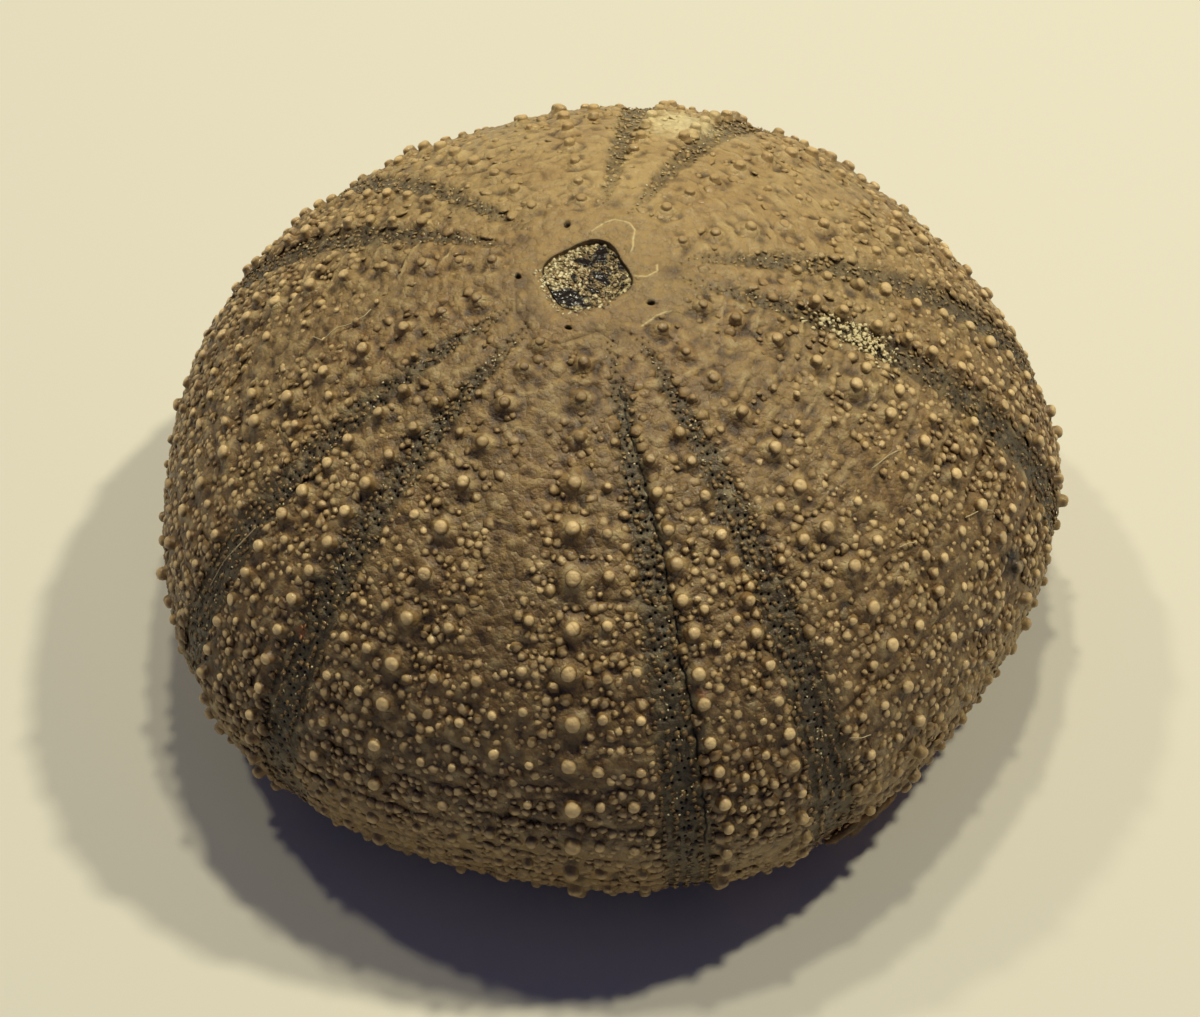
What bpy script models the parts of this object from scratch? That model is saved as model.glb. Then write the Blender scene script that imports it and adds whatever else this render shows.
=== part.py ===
"""A fossil regular sea urchin: one domed test with its tubercles, and the sediment in its two openings.

The test is drawn as a meridian, a curve from the crown down over the widest part to the mouth. Every point
of the surface has an arc, its distance from the crown along the meridian, and an azimuth. For the mesh,
arc and azimuth are turned into a flat chart that keeps small circles round, so that each tubercle is a ring
with a raised tip, and one triangulation of the chart closes the whole surface.
"""

import math
import random

import bpy
import numpy as np
from mathutils import Vector
from mathutils.geometry import delaunay_2d_cdt

MM = 0.001

# Driving dimensions of the test
AMBITUS_RADIUS = 45.0 * MM  # the widest part, without tubercles
DOME_HEIGHT = 32.6 * MM  # from the widest part up to the crown
BASE_DEPTH = 16.6 * MM  # from the widest part down to the resting ring
SHOULDER_POWER = 2.09  # roundness of the dome's outline, read across
CROWN_POWER = 1.67  # roundness of the dome's outline, read upwards
RING_OUTER_RADIUS = 27.0 * MM
RING_INNER_RADIUS = 22.0 * MM
MOUTH_RADIUS = 11.0 * MM
MOUTH_LIP_HEIGHT = 2.6 * MM  # the mouth's edge above the resting plane
MOUTH_RECESS = 3.0 * MM
CROWN_OPENING_RADIUS = 4.2 * MM
CROWN_RECESS = 2.6 * MM
GAP = 0.3 * MM

# The five rays (ambulacra) and what makes the outline a soft pentagon
RAYS = 5
RAY_STEP = 360.0 / RAYS
FIRST_RAY = -73.5  # azimuth of the ray that faces the front
PENTAGON = 0.019
OVAL = (0.0055, 0.0080)  # cosine and sine shares of a slight oval
LOPSIDED = (-0.0050, 0.0018)  # the same of a slight three-sided swell
FOOTPRINT_SHIFT = (-0.68 * MM, 0.02 * MM)  # brings the middle of the outline's box to the origin

# The crown opening is a rounded four-sided hole, a little off the middle
OPENING_CENTRE = (-0.53 * MM, -0.44 * MM)
OPENING_WAVES = {2: (-0.018, 0.026), 3: (0.006, -0.025), 4: (0.002, -0.080)}
OPENING_FADE_ARC = 8.5 * MM  # beyond this arc the meridians are true again

# Pore zones: two shallow furrows along each ray
FURROW_ANGLE = 8.9
FURROW_HALF_ANGLE = 2.5
FURROW_DEPTH = 0.55 * MM
FURROW_FIRST_ARC = 9.5 * MM
FURROW_LAST_ARC = 74.0 * MM
FURROW_STEP = 4.8 * MM

# Plates and their tubercles
PLATE_HEIGHT = 4.5 * MM
PRIMARY_ANGLE = 23.2  # from the ray to the main row of tubercles on each side
PRIMARY_FIRST_ARC = (9.6 * MM, 11.1 * MM)
PRIMARY_RADIUS = 1.50 * MM
PRIMARY_RISE = 0.95 * MM
RAY_PLATE_HEIGHT = 3.3 * MM
RAY_ANGLE = 4.9
RAY_FIRST_ARC = (19.6 * MM, 21.2 * MM)
RAY_RADIUS = 1.15 * MM
RAY_RISE = 0.80 * MM
SECONDARY_RADIUS = 0.95 * MM
SECONDARY_RISE = 0.65 * MM
# side step from the main tubercle, and the arc where that row begins
SECONDARY_ROWS = (
    (-3.0 * MM, 26.0 * MM),
    (-6.1 * MM, 40.0 * MM),
    (4.2 * MM, 33.0 * MM),
    (7.7 * MM, 43.0 * MM),
)
SECONDARY_LAST_ARC = 66.0 * MM
KNOB_SHARE = 0.45  # of a main tubercle's foot, the width of its rounded top
PRIMARY_SHAPE = (5, 3)  # points round the foot, and round the top
RAY_SHAPE = (4, 1)
SECONDARY_SHAPE = (3, 1)
TUBERCLE_CLEARANCE = 0.10 * MM
FILL_SPACING = 6.6 * MM

# Rust-brown patch under the front right edge
PATCH_AZIMUTH = -58.0
PATCH_ARC = 69.5 * MM
PATCH_HALF_LENGTH = 5.2 * MM  # along the edge
PATCH_HALF_WIDTH = 3.4 * MM  # up and down the skirt
PATCH_THICKNESS = 1.3 * MM

TEST_COLOUR = (0.190, 0.137, 0.078, 1.0)
CROWN_SEDIMENT_COLOUR = (0.420, 0.330, 0.170, 1.0)
MOUTH_SEDIMENT_COLOUR = (0.330, 0.235, 0.130, 1.0)
PATCH_COLOUR = (0.270, 0.125, 0.045, 1.0)

SEED = 11
CURVE_STEPS = 160


def smooth_ramp(low, high, value):
    """0 at low, 1 at high, with level ends."""
    share = np.clip((value - low) / (high - low), 0.0, 1.0)
    return share * share * (3.0 - 2.0 * share)


def cubic(corners, steps=CURVE_STEPS):
    """Points of a cubic curve through the first and last of four corners."""
    first, second, third, last = (np.array(corner) for corner in corners)
    t = np.linspace(0.0, 1.0, steps)[:, None]
    back = 1.0 - t
    return back**3 * first + 3.0 * back**2 * t * second + 3.0 * back * t**2 * third + t**3 * last


def dome_curve():
    """Radius and height of the dome, from the crown to the widest part."""
    turn = np.linspace(0.0, 1.0, 6 * CURVE_STEPS) ** 1.5 * math.pi / 2.0
    radius = AMBITUS_RADIUS * np.sin(turn) ** (2.0 / SHOULDER_POWER)
    height = BASE_DEPTH + DOME_HEIGHT * np.abs(np.cos(turn)) ** (2.0 / CROWN_POWER)
    return np.column_stack([radius, height])


def skirt_curve():
    """From the widest part down and in to the resting ring."""
    return cubic(
        (
            (AMBITUS_RADIUS, BASE_DEPTH),
            (AMBITUS_RADIUS, 0.42 * BASE_DEPTH),
            (0.86 * AMBITUS_RADIUS, 0.0),
            (RING_OUTER_RADIUS, 0.0),
        )
    )


def mouth_curve():
    """From the resting ring in to the lip of the mouth, which is drawn up a little."""
    return cubic(
        (
            (RING_INNER_RADIUS, 0.0),
            (0.80 * RING_INNER_RADIUS, 0.0),
            (1.35 * MOUTH_RADIUS, MOUTH_LIP_HEIGHT),
            (MOUTH_RADIUS, MOUTH_LIP_HEIGHT),
        )
    )


class Meridian:
    """The meridian as evenly read tables: radius, height and chart distance against arc."""

    def __init__(self):
        dome = dome_curve()
        dome_arc = np.concatenate([[0.0], np.cumsum(np.linalg.norm(np.diff(dome, axis=0), axis=1))])
        self.rim_arc = float(np.interp(CROWN_OPENING_RADIUS, dome[:, 0], dome_arc))
        self.ambitus_arc = float(dome_arc[-1])
        rim_height = float(np.interp(CROWN_OPENING_RADIUS, dome[:, 0], dome[:, 1]))
        floor_edge = CROWN_OPENING_RADIUS - GAP
        floor_height = rim_height - CROWN_RECESS
        crown = [(0.2 * floor_edge, floor_height), (floor_edge, floor_height)]
        outside = dome[dome[:, 0] > CROWN_OPENING_RADIUS]
        below = [skirt_curve()[1:], mouth_curve(), self.mouth_recess()]
        points = np.vstack([crown, [(CROWN_OPENING_RADIUS, rim_height)], outside, *below])
        points = self.refined(points)
        steps = np.linalg.norm(np.diff(points, axis=0), axis=1)
        arc = np.concatenate([[0.0], np.cumsum(steps)])
        rim_index = int(np.argmin(np.linalg.norm(points - (CROWN_OPENING_RADIUS, rim_height), axis=1)))
        self.arc = arc + self.rim_arc - arc[rim_index]
        self.radius = points[:, 0]
        self.height = points[:, 1]
        middle = 0.5 * (self.radius[1:] + self.radius[:-1])
        self.chart = np.concatenate([[0.0], np.cumsum(steps / middle)])
        self.tilt = np.arctan2(np.gradient(self.height), np.gradient(self.radius))
        self.ring_arcs = [self.arc_where(radius) for radius in (RING_OUTER_RADIUS, RING_INNER_RADIUS)]
        self.lip_arc = self.arc_where(MOUTH_RADIUS)

    @staticmethod
    def mouth_recess():
        """The wall and the floor of the recess inside the mouth."""
        floor_height = MOUTH_LIP_HEIGHT + MOUTH_RECESS
        floor_edge = MOUTH_RADIUS - GAP
        return np.array([(floor_edge, floor_height), (0.3 * MOUTH_RADIUS, floor_height)])

    @staticmethod
    def refined(points, longest=0.15 * MM):
        """The same outline with points added on its long straight runs."""
        out = [points[:1]]
        for start, end in zip(points[:-1], points[1:]):
            count = max(1, int(np.linalg.norm(end - start) / longest))
            share = (np.arange(count) + 1.0)[:, None] / count
            out.append(start + (end - start) * share)
        return np.vstack(out)

    def arc_where(self, radius):
        """The arc at which the underside has this radius."""
        under = self.arc > self.ambitus_arc
        return float(np.interp(-radius, -self.radius[under], self.arc[under]))

    def radius_at(self, arc):
        return np.interp(arc, self.arc, self.radius)

    def to_chart(self, arc, azimuth):
        """Arc and azimuth in degrees to one complex chart number."""
        return np.exp(np.interp(arc, self.arc, self.chart)) * np.exp(1j * np.radians(azimuth))

    def from_chart(self, places):
        distance = np.interp(np.log(np.abs(places)), self.chart, self.arc)
        return distance, np.angle(places)


def outline_swell(angle):
    """How far the outline stands out of a true circle, as a share of the radius."""
    share = PENTAGON * np.cos(RAYS * (angle - math.radians(FIRST_RAY)))
    share += OVAL[0] * np.cos(2.0 * angle) + OVAL[1] * np.sin(2.0 * angle)
    return share + LOPSIDED[0] * np.cos(3.0 * angle) + LOPSIDED[1] * np.sin(3.0 * angle)


def opening_swell(angle):
    """The same for the crown opening."""
    share = np.zeros_like(angle)
    for waves, (cosine, sine) in OPENING_WAVES.items():
        share += cosine * np.cos(waves * angle) + sine * np.sin(waves * angle)
    return share


def surface_points(meridian, places, lifts):
    """Chart places, each lifted off the surface by its own height, as points in space."""
    arc, angle = meridian.from_chart(places)
    radius = np.interp(arc, meridian.arc, meridian.radius)
    height = np.interp(arc, meridian.arc, meridian.height)
    tilt = np.interp(arc, meridian.arc, meridian.tilt)
    radius = radius * (1.0 + outline_swell(angle) * (radius / AMBITUS_RADIUS) ** 2)
    near_opening = 1.0 - smooth_ramp(CROWN_OPENING_RADIUS, OPENING_FADE_ARC, arc)
    radius = radius * (1.0 + near_opening * opening_swell(angle))
    radius = radius - lifts * np.sin(tilt)
    height = np.maximum(height + lifts * np.cos(tilt), 0.0)  # worn level with the resting plane
    x = radius * np.cos(angle) + near_opening * OPENING_CENTRE[0] + FOOTPRINT_SHIFT[0]
    y = radius * np.sin(angle) + near_opening * OPENING_CENTRE[1] + FOOTPRINT_SHIFT[1]
    return np.column_stack([x, y, height])


def plate_arcs(first, pitch, last, crowding):
    """Arcs of the tubercles down one column; plates are lower near the crown and under the edge."""
    arcs = []
    arc = first
    while arc < last:
        arcs.append(arc)
        near_crown = crowding * math.exp(-(arc - PRIMARY_FIRST_ARC[0]) / (5.5 * MM))
        under_edge = 0.22 * float(smooth_ramp(58.0 * MM, 76.0 * MM, arc))
        arc += pitch * (1.0 - near_crown - under_edge)
    return arcs


def primary_tubercles(meridian):
    """The main rows: two to each space between the rays, and two along each ray."""
    sites = []
    last = meridian.ring_arcs[0] - 1.2 * MM
    for ray in range(RAYS):
        for side, order in ((1, 0), (-1, 1)):
            between = FIRST_RAY + RAY_STEP * ray + side * PRIMARY_ANGLE
            for arc in plate_arcs(PRIMARY_FIRST_ARC[order], PLATE_HEIGHT, last, 0.27):
                grown = 0.72 + 0.28 * float(smooth_ramp(8.0 * MM, 24.0 * MM, arc))
                grown -= 0.25 * float(smooth_ramp(66.0 * MM, 84.0 * MM, arc))
                sites.append((arc, between, grown * PRIMARY_RADIUS, grown * PRIMARY_RISE, PRIMARY_SHAPE))
            along = FIRST_RAY + RAY_STEP * ray + side * RAY_ANGLE
            for arc in plate_arcs(RAY_FIRST_ARC[order], RAY_PLATE_HEIGHT, last, 0.0):
                grown = 0.80 + 0.20 * float(smooth_ramp(18.0 * MM, 34.0 * MM, arc))
                grown -= 0.25 * float(smooth_ramp(66.0 * MM, 84.0 * MM, arc))
                sites.append((arc, along, grown * RAY_RADIUS, grown * RAY_RISE, RAY_SHAPE))
    return sites


def secondary_tubercles(meridian):
    """The smaller rows beside each main tubercle between the rays."""
    sites = []
    for ray in range(RAYS):
        for side, order in ((1, 0), (-1, 1)):
            arcs = plate_arcs(PRIMARY_FIRST_ARC[order], PLATE_HEIGHT, SECONDARY_LAST_ARC, 0.27)
            for step, begins in SECONDARY_ROWS:
                for arc in arcs:
                    if arc < begins:
                        continue
                    turn = math.degrees(step / meridian.radius_at(arc))
                    azimuth = FIRST_RAY + RAY_STEP * ray + side * (PRIMARY_ANGLE + turn)
                    sites.append((arc, azimuth, SECONDARY_RADIUS, SECONDARY_RISE, SECONDARY_SHAPE))
    return sites


def clear_sites(meridian, sites):
    """The sites that leave room for those before them, as chart places with chart radii."""
    kept = []
    patch_place = meridian.to_chart(PATCH_ARC, PATCH_AZIMUTH)
    patch_reach = (PATCH_HALF_LENGTH + 1.0 * MM) * abs(patch_place) / meridian.radius_at(PATCH_ARC)
    for arc, azimuth, radius, rise, shape in sites:
        place = meridian.to_chart(arc, azimuth)
        scale = abs(place) / meridian.radius_at(arc)
        reach = radius * scale
        if abs(place - patch_place) < patch_reach + reach:
            continue
        spare = TUBERCLE_CLEARANCE * scale
        if any(abs(place - other) < reach + wide + spare for other, wide, _, _ in kept):
            continue
        kept.append((place, reach, rise, shape))
    return kept


def furrow_depth(meridian, places):
    """How far the surface sinks in the pore zones, as a lift below zero."""
    arc, angle = meridian.from_chart(places)
    from_ray = (np.degrees(angle) - FIRST_RAY + RAY_STEP / 2.0) % RAY_STEP - RAY_STEP / 2.0
    across = np.abs(np.abs(from_ray) - FURROW_ANGLE) / FURROW_HALF_ANGLE
    along = smooth_ramp(FURROW_FIRST_ARC - 2.0 * MM, FURROW_FIRST_ARC + 6.0 * MM, arc)
    along = along * (1.0 - smooth_ramp(FURROW_LAST_ARC - 4.0 * MM, FURROW_LAST_ARC, arc))
    return -FURROW_DEPTH * along * np.clip(1.0 - across, 0.0, 1.0)


def furrow_places(meridian):
    """Three lines of points down each pore zone: its two edges and its bed."""
    places = []
    for ray in range(RAYS):
        for side in (-1, 1):
            for across in (-1.0, 0.0, 1.0):
                from_ray = FURROW_ANGLE + across * FURROW_HALF_ANGLE
                azimuth = FIRST_RAY + RAY_STEP * ray + side * from_ray
                stagger = 0.5 * FURROW_STEP * abs(across)
                for arc in np.arange(FURROW_FIRST_ARC + stagger, FURROW_LAST_ARC, FURROW_STEP):
                    places.append(meridian.to_chart(arc, azimuth))
    return places


def unit_ring(count, start=0.0):
    """Points round a circle of radius 1, the first one start of a step on."""
    return np.exp(1j * math.tau * (np.arange(count) + start) / count)


def ring_places(meridian, arc, count):
    turns = np.arange(count) * 360.0 / count
    return list(meridian.to_chart(arc, turns))


def fill_places(meridian):
    """Points about as far apart as the fill spacing, from the crown to the resting ring."""
    places = []
    arc = meridian.rim_arc + 2.2 * MM
    row = 0
    while arc < meridian.ring_arcs[0]:
        count = max(12, int(math.tau * meridian.radius_at(arc) / FILL_SPACING))
        turns = (np.arange(count) + 0.5 * (row % 2)) * 360.0 / count
        places.extend(meridian.to_chart(arc, turns))
        arc += 0.87 * FILL_SPACING
        row += 1
    return places


def edge_rings(meridian):
    """Rings of points that hold the recesses, the resting ring and the mouth's lip to their shapes."""
    places = []
    floor_edge = meridian.rim_arc - CROWN_RECESS - GAP
    for arc in (meridian.arc[0] + 0.6 * MM, floor_edge, meridian.rim_arc - 0.02 * MM, meridian.rim_arc + 0.5 * MM):
        places.extend(ring_places(meridian, arc, 24))
    places.extend(ring_places(meridian, meridian.ring_arcs[0], 48))
    places.extend(ring_places(meridian, meridian.ring_arcs[1], 48))
    for share in (0.35, 0.7):
        arc = meridian.ring_arcs[1] + share * (meridian.lip_arc - meridian.ring_arcs[1])
        places.extend(ring_places(meridian, arc, 32))
    places.extend(ring_places(meridian, meridian.lip_arc, 32))
    places.extend(ring_places(meridian, meridian.lip_arc + MOUTH_RECESS + GAP, 32))
    return places


def test_points(meridian):
    """Every chart place of the test's surface with its lift."""
    tubercles = clear_sites(meridian, primary_tubercles(meridian) + secondary_tubercles(meridian))
    firm = edge_rings(meridian)
    loose = furrow_places(meridian) + fill_places(meridian)
    centres = np.array([place for place, _, _, _ in tubercles])
    reaches = np.array([reach for _, reach, _, _ in tubercles])
    places = list(firm)
    for place in loose:
        clear = np.abs(centres - place) > 1.25 * reaches
        if clear.all():
            places.append(place)
    lifts = list(furrow_depth(meridian, np.array(places)))
    rng = random.Random(SEED)
    for place, reach, rise, (foot_points, top_points) in tubercles:
        start = rng.random()
        foot = place + reach * unit_ring(foot_points, start)
        places.extend(foot)
        lifts.extend(furrow_depth(meridian, foot))
        top = place + KNOB_SHARE * reach * unit_ring(top_points, start) * (top_points > 1)
        places.extend(top)
        lifts.extend([rise * rng.uniform(0.88, 1.0)] * top_points)
    return np.array(places), np.array(lifts)


def closed_surface(meridian, places, lifts):
    """One triangulation of the chart, closed by a single face across its last ring."""
    flat = [Vector((place.real, place.imag)) for place in places]
    _, _, triangles, _, _, _ = delaunay_2d_cdt(flat, [], [], 0, 1e-9, False)
    faces = [tuple(triangle) for triangle in triangles]
    distance = np.abs(places)
    outer = np.flatnonzero(distance > 0.9999 * distance.max())
    by_turn = outer[np.argsort(np.angle(places[outer]))]
    faces.append(tuple(int(index) for index in by_turn[::-1]))
    return surface_points(meridian, places, lifts), faces


def stone_material(name, colour, roughness):
    material = bpy.data.materials.new(name)
    material.use_nodes = True
    shader = material.node_tree.nodes["Principled BSDF"]
    shader.inputs["Base Color"].default_value = colour
    shader.inputs["Roughness"].default_value = roughness
    shader.inputs["Metallic"].default_value = 0.0
    return material


def add_object(name, corners, faces, material):
    mesh = bpy.data.meshes.new(name)
    mesh.from_pydata([tuple(corner) for corner in corners], [], faces)
    mesh.materials.append(material)
    mesh.shade_smooth()
    mesh.set_sharp_from_angle(angle=math.radians(50.0))
    item = bpy.data.objects.new(name, mesh)
    bpy.context.scene.collection.objects.link(item)
    return item


def make_test(meridian):
    """The whole test: dome, furrows, tubercles, crown opening and mouth, in one closed surface."""
    places, lifts = test_points(meridian)
    corners, faces = closed_surface(meridian, places, lifts)
    return add_object("test", corners, faces, stone_material("fossil calcite", TEST_COLOUR, 0.55))


def lump_faces(rings, sides):
    """Side faces between rings of equal count, with the first and last ring closed."""
    faces = [tuple(reversed(range(sides)))]
    for ring in range(rings - 1):
        for side in range(sides):
            near = ring * sides + side
            far = ring * sides + (side + 1) % sides
            faces.append((near, far, far + sides, near + sides))
    faces.append(tuple((rings - 1) * sides + side for side in range(sides)))
    return faces


def make_crown_sediment(meridian):
    """Hardened sand in the crown opening: a low lump whose uneven top lies just below the rim."""
    sides = 24
    rng = random.Random(SEED + 1)
    floor = float(meridian.height[0]) + GAP
    rim = floor - GAP + CROWN_RECESS
    turns = np.arange(sides) * math.tau / sides
    reach = (CROWN_OPENING_RADIUS - 2.0 * GAP) * (1.0 + opening_swell(turns))
    corners = []
    for share, height in ((0.90, floor), (1.0, rim - 1.3 * MM), (0.93, rim - 0.7 * MM), (0.62, rim - 0.6 * MM)):
        for turn, wide in zip(turns, reach):
            uneven = rng.uniform(-0.16, 0.16) * MM if height > floor else 0.0
            x = share * wide * math.cos(turn) + OPENING_CENTRE[0] + FOOTPRINT_SHIFT[0]
            y = share * wide * math.sin(turn) + OPENING_CENTRE[1] + FOOTPRINT_SHIFT[1]
            corners.append((x, y, height + uneven))
    faces = lump_faces(4, sides)
    faces.pop()
    corners.append((OPENING_CENTRE[0] + FOOTPRINT_SHIFT[0], OPENING_CENTRE[1] + FOOTPRINT_SHIFT[1], rim - 0.8 * MM))
    for side in range(sides):
        faces.append((3 * sides + side, 3 * sides + (side + 1) % sides, 4 * sides))
    return add_object("crown_sediment", corners, faces, stone_material("hard sand", CROWN_SEDIMENT_COLOUR, 0.8))


def make_mouth_sediment():
    """Infill that closes the mouth and is worn flat level with the resting ring."""
    sides = 32
    top = MOUTH_LIP_HEIGHT + MOUTH_RECESS - GAP
    wall = MOUTH_RADIUS - 2.0 * GAP
    corners = []
    for reach, height in ((wall - 1.6 * MM, 0.0), (wall, 1.5 * MM), (wall, top - 0.6 * MM), (wall - 0.8 * MM, top)):
        for side in range(sides):
            turn = side * math.tau / sides
            wide = reach * (1.0 + outline_swell(turn) * (reach / AMBITUS_RADIUS) ** 2)
            corners.append((wide * math.cos(turn), wide * math.sin(turn), height))
    corners = np.array(corners) + np.array([FOOTPRINT_SHIFT[0], FOOTPRINT_SHIFT[1], 0.0])
    faces = lump_faces(4, sides)
    return add_object("mouth_sediment", corners, faces, stone_material("limy sediment", MOUTH_SEDIMENT_COLOUR, 0.85))


def make_edge_matrix(meridian):
    """A thin pad of rusty rock that follows the skirt of the test, a gap's width off it."""
    sides = 16
    rng = random.Random(SEED + 2)
    centre = meridian.to_chart(PATCH_ARC, PATCH_AZIMUTH)
    scale = abs(centre) / meridian.radius_at(PATCH_ARC)
    outward = np.exp(1j * math.radians(PATCH_AZIMUTH))
    thickest = PATCH_THICKNESS
    places = []
    lifts = []
    for share, lift in ((0.55, GAP), (0.95, GAP), (1.0, 0.7 * MM), (0.8, thickest), (0.4, thickest)):
        for side in range(sides):
            turn = side * math.tau / sides
            ragged = rng.uniform(0.90, 1.0) * share
            across = PATCH_HALF_WIDTH * math.cos(turn) + 1j * PATCH_HALF_LENGTH * math.sin(turn)
            places.append(centre + scale * ragged * across * outward)
            lifts.append(lift if lift == GAP else lift * rng.uniform(0.9, 1.1))
    corners = surface_points(meridian, np.array(places), np.array(lifts))
    return add_object("edge_matrix", corners, lump_faces(5, sides), stone_material("rusty matrix", PATCH_COLOUR, 0.8))


def clear_scene():
    for item in list(bpy.data.objects):
        bpy.data.objects.remove(item, do_unlink=True)


def main():
    clear_scene()
    meridian = Meridian()
    make_test(meridian)
    make_crown_sediment(meridian)
    make_mouth_sediment()
    make_edge_matrix(meridian)


main()
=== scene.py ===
"""The looks of a fossil sea urchin: a domed test of brown calcite, its openings filled with hard sediment.

Every point of the test has an arc, its distance from the crown along the meridian, and an azimuth. Arc and
azimuth are turned into a flat chart that keeps small circles round, so that one triangulation of the chart
closes the whole skin, dense where there is detail and open where there is none.
"""

import math
from itertools import product

import bpy
import numpy as np
from mathutils import Matrix, Vector, kdtree, noise
from mathutils.geometry import delaunay_2d_cdt


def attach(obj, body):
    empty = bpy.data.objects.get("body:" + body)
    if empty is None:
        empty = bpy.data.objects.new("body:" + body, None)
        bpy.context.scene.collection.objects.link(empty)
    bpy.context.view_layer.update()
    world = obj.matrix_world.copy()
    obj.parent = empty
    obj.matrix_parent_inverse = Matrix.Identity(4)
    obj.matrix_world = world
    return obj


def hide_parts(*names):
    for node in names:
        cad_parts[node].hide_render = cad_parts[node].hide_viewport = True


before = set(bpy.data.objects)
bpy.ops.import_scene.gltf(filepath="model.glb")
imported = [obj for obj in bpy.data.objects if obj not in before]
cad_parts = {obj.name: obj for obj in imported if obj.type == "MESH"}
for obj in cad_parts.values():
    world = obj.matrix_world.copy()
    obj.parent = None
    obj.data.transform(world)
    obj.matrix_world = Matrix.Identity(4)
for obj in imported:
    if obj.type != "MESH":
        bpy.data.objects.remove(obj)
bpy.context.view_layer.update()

MM = 0.001

# ---- The test's own sizes, the same as those of the solid ----
AMBITUS_RADIUS = 45.0 * MM
DOME_HEIGHT = 32.6 * MM
BASE_DEPTH = 16.6 * MM
SHOULDER_POWER = 2.09
CROWN_POWER = 1.67
RING_OUTER_RADIUS = 27.0 * MM
RING_INNER_RADIUS = 22.0 * MM
MOUTH_RADIUS = 11.0 * MM
MOUTH_LIP_HEIGHT = 2.6 * MM
MOUTH_RECESS = 3.0 * MM
CROWN_OPENING_RADIUS = 4.2 * MM
CROWN_RECESS = 2.6 * MM
GAP = 0.3 * MM
RAYS = 5
RAY_STEP = 360.0 / RAYS
FIRST_RAY = -73.5
PENTAGON = 0.019
OVAL = (0.0055, 0.0080)
LOPSIDED = (-0.0050, 0.0018)
FOOTPRINT_SHIFT = (-0.68 * MM, 0.02 * MM)
OPENING_CENTRE = (-0.53 * MM, -0.44 * MM)
OPENING_WAVES = {2: (-0.018, 0.026), 3: (0.006, -0.025), 4: (0.002, -0.080)}
OPENING_FADE_ARC = 8.5 * MM
PLATE_HEIGHT = 4.5 * MM
PRIMARY_ANGLE = 23.2
PRIMARY_FIRST_ARC = (9.6 * MM, 11.1 * MM)
PRIMARY_RADIUS = 1.45 * MM
RAY_PLATE_HEIGHT = 3.3 * MM
RAY_ANGLE = 4.9
RAY_FIRST_ARC = (19.6 * MM, 21.2 * MM)
RAY_RADIUS = 1.15 * MM
SECONDARY_RADIUS = 0.90 * MM
SECONDARY_ROWS = (
    (-3.0 * MM, 26.0 * MM),
    (-6.1 * MM, 40.0 * MM),
    (4.2 * MM, 33.0 * MM),
    (7.7 * MM, 43.0 * MM),
)
PATCH_AZIMUTH = -58.0
PATCH_ARC = 69.5 * MM
PATCH_HALF_LENGTH = 5.2 * MM
PATCH_HALF_WIDTH = 3.4 * MM

# ---- Finer anatomy, which only the skin shows ----
ZONE_INNER_ANGLE = 6.1  # a pore zone's edges, from the middle of its ray
ZONE_OUTER_ANGLE = 12.4
ZONE_DEPTH = 0.32 * MM
PORE_RADIUS = 0.145 * MM
PORE_DEPTH = 0.40 * MM
PORE_PAIR_STEP = 1.08 * MM  # three pairs to a plate of the ray
PORE_PAIR_WIDTH = 0.62 * MM
DISC_ARC = 7.9 * MM  # the ring of plates round the crown opening
GONOPORE_ARC = 6.9 * MM
GONOPORE_RADIUS = 0.36 * MM
CRACK = ((-8.6, 14.0), (-8.2, 17.0), (-7.2, 24.0), (-6.5, 31.0), (-6.9, 40.0), (-6.7, 48.0), (-7.0, 59.0))
MAIN_BALL = 0.68 * MM  # radius of a main tubercle's rounded knob
RAY_BALL = 0.62 * MM
LESSER_BALL = 0.53 * MM
MAIN_BOSS = 0.60 * MM  # height of the low cone under it
RAY_BOSS = 0.46 * MM
LESSER_BOSS = 0.36 * MM
GRANULE_RADIUS = 0.42 * MM
ZONE_GRAIN_RADIUS = 0.26 * MM
SEAM_LIP = 0.14 * MM
MIDLINE_DEPTH = 0.10 * MM  # the zigzag seam half-way between two rays
CRACK_DEPTH = 0.36 * MM
CRACK_HALF_WIDTH = 0.085 * MM
AREOLES = (0.13 * MM, 0.08 * MM, 0.03 * MM)  # hollows round the main, ray and lesser bosses
BROAD_SWELL = 0.14 * MM  # slow rise and fall of the whole surface
SIEVE_EDGE_HEIGHT = 0.10 * MM
DISC_EDGE_DEPTH = 0.13 * MM
DIRTY_SPOT_DEPTH = 0.10 * MM
VOID_DEPTH = 0.45 * MM  # small holes in the mouth's infill

# ---- Marks of the crown, as (azimuth in degrees, arc in mm) ----
SIEVE_PLATE_EDGES = (
    ((83.0, 5.2), (74.0, 6.3), (68.0, 7.0), (58.0, 7.2), (49.0, 6.8), (42.0, 6.0), (36.0, 5.7), (30.0, 5.3)),
    ((2.8, 6.5), (-3.0, 6.4), (-9.0, 5.4), (-8.0, 4.7), (-4.5, 4.3)),
    ((-36.0, 8.9), (-46.0, 8.2), (-58.0, 8.3)),
)
DISC_EDGE = (
    (-165.5, 7.5), (-151.0, 8.4), (-137.0, 8.8), (-128.0, 9.6),
    (-111.5, 9.1), (-98.0, 7.8), (-88.2, 7.3), (-78.2, 9.0),
)
DIRTY_SPOTS = (
    (-75.5, 8.0, 1.0), (-2.2, 7.9, 1.1), (-145.8, 7.9, 1.1), (142.8, 8.3, 0.9),
    (73.8, 9.4, 0.7), (-173.0, 6.5, 1.0), (-92.0, 7.0, 0.6),
)

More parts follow.
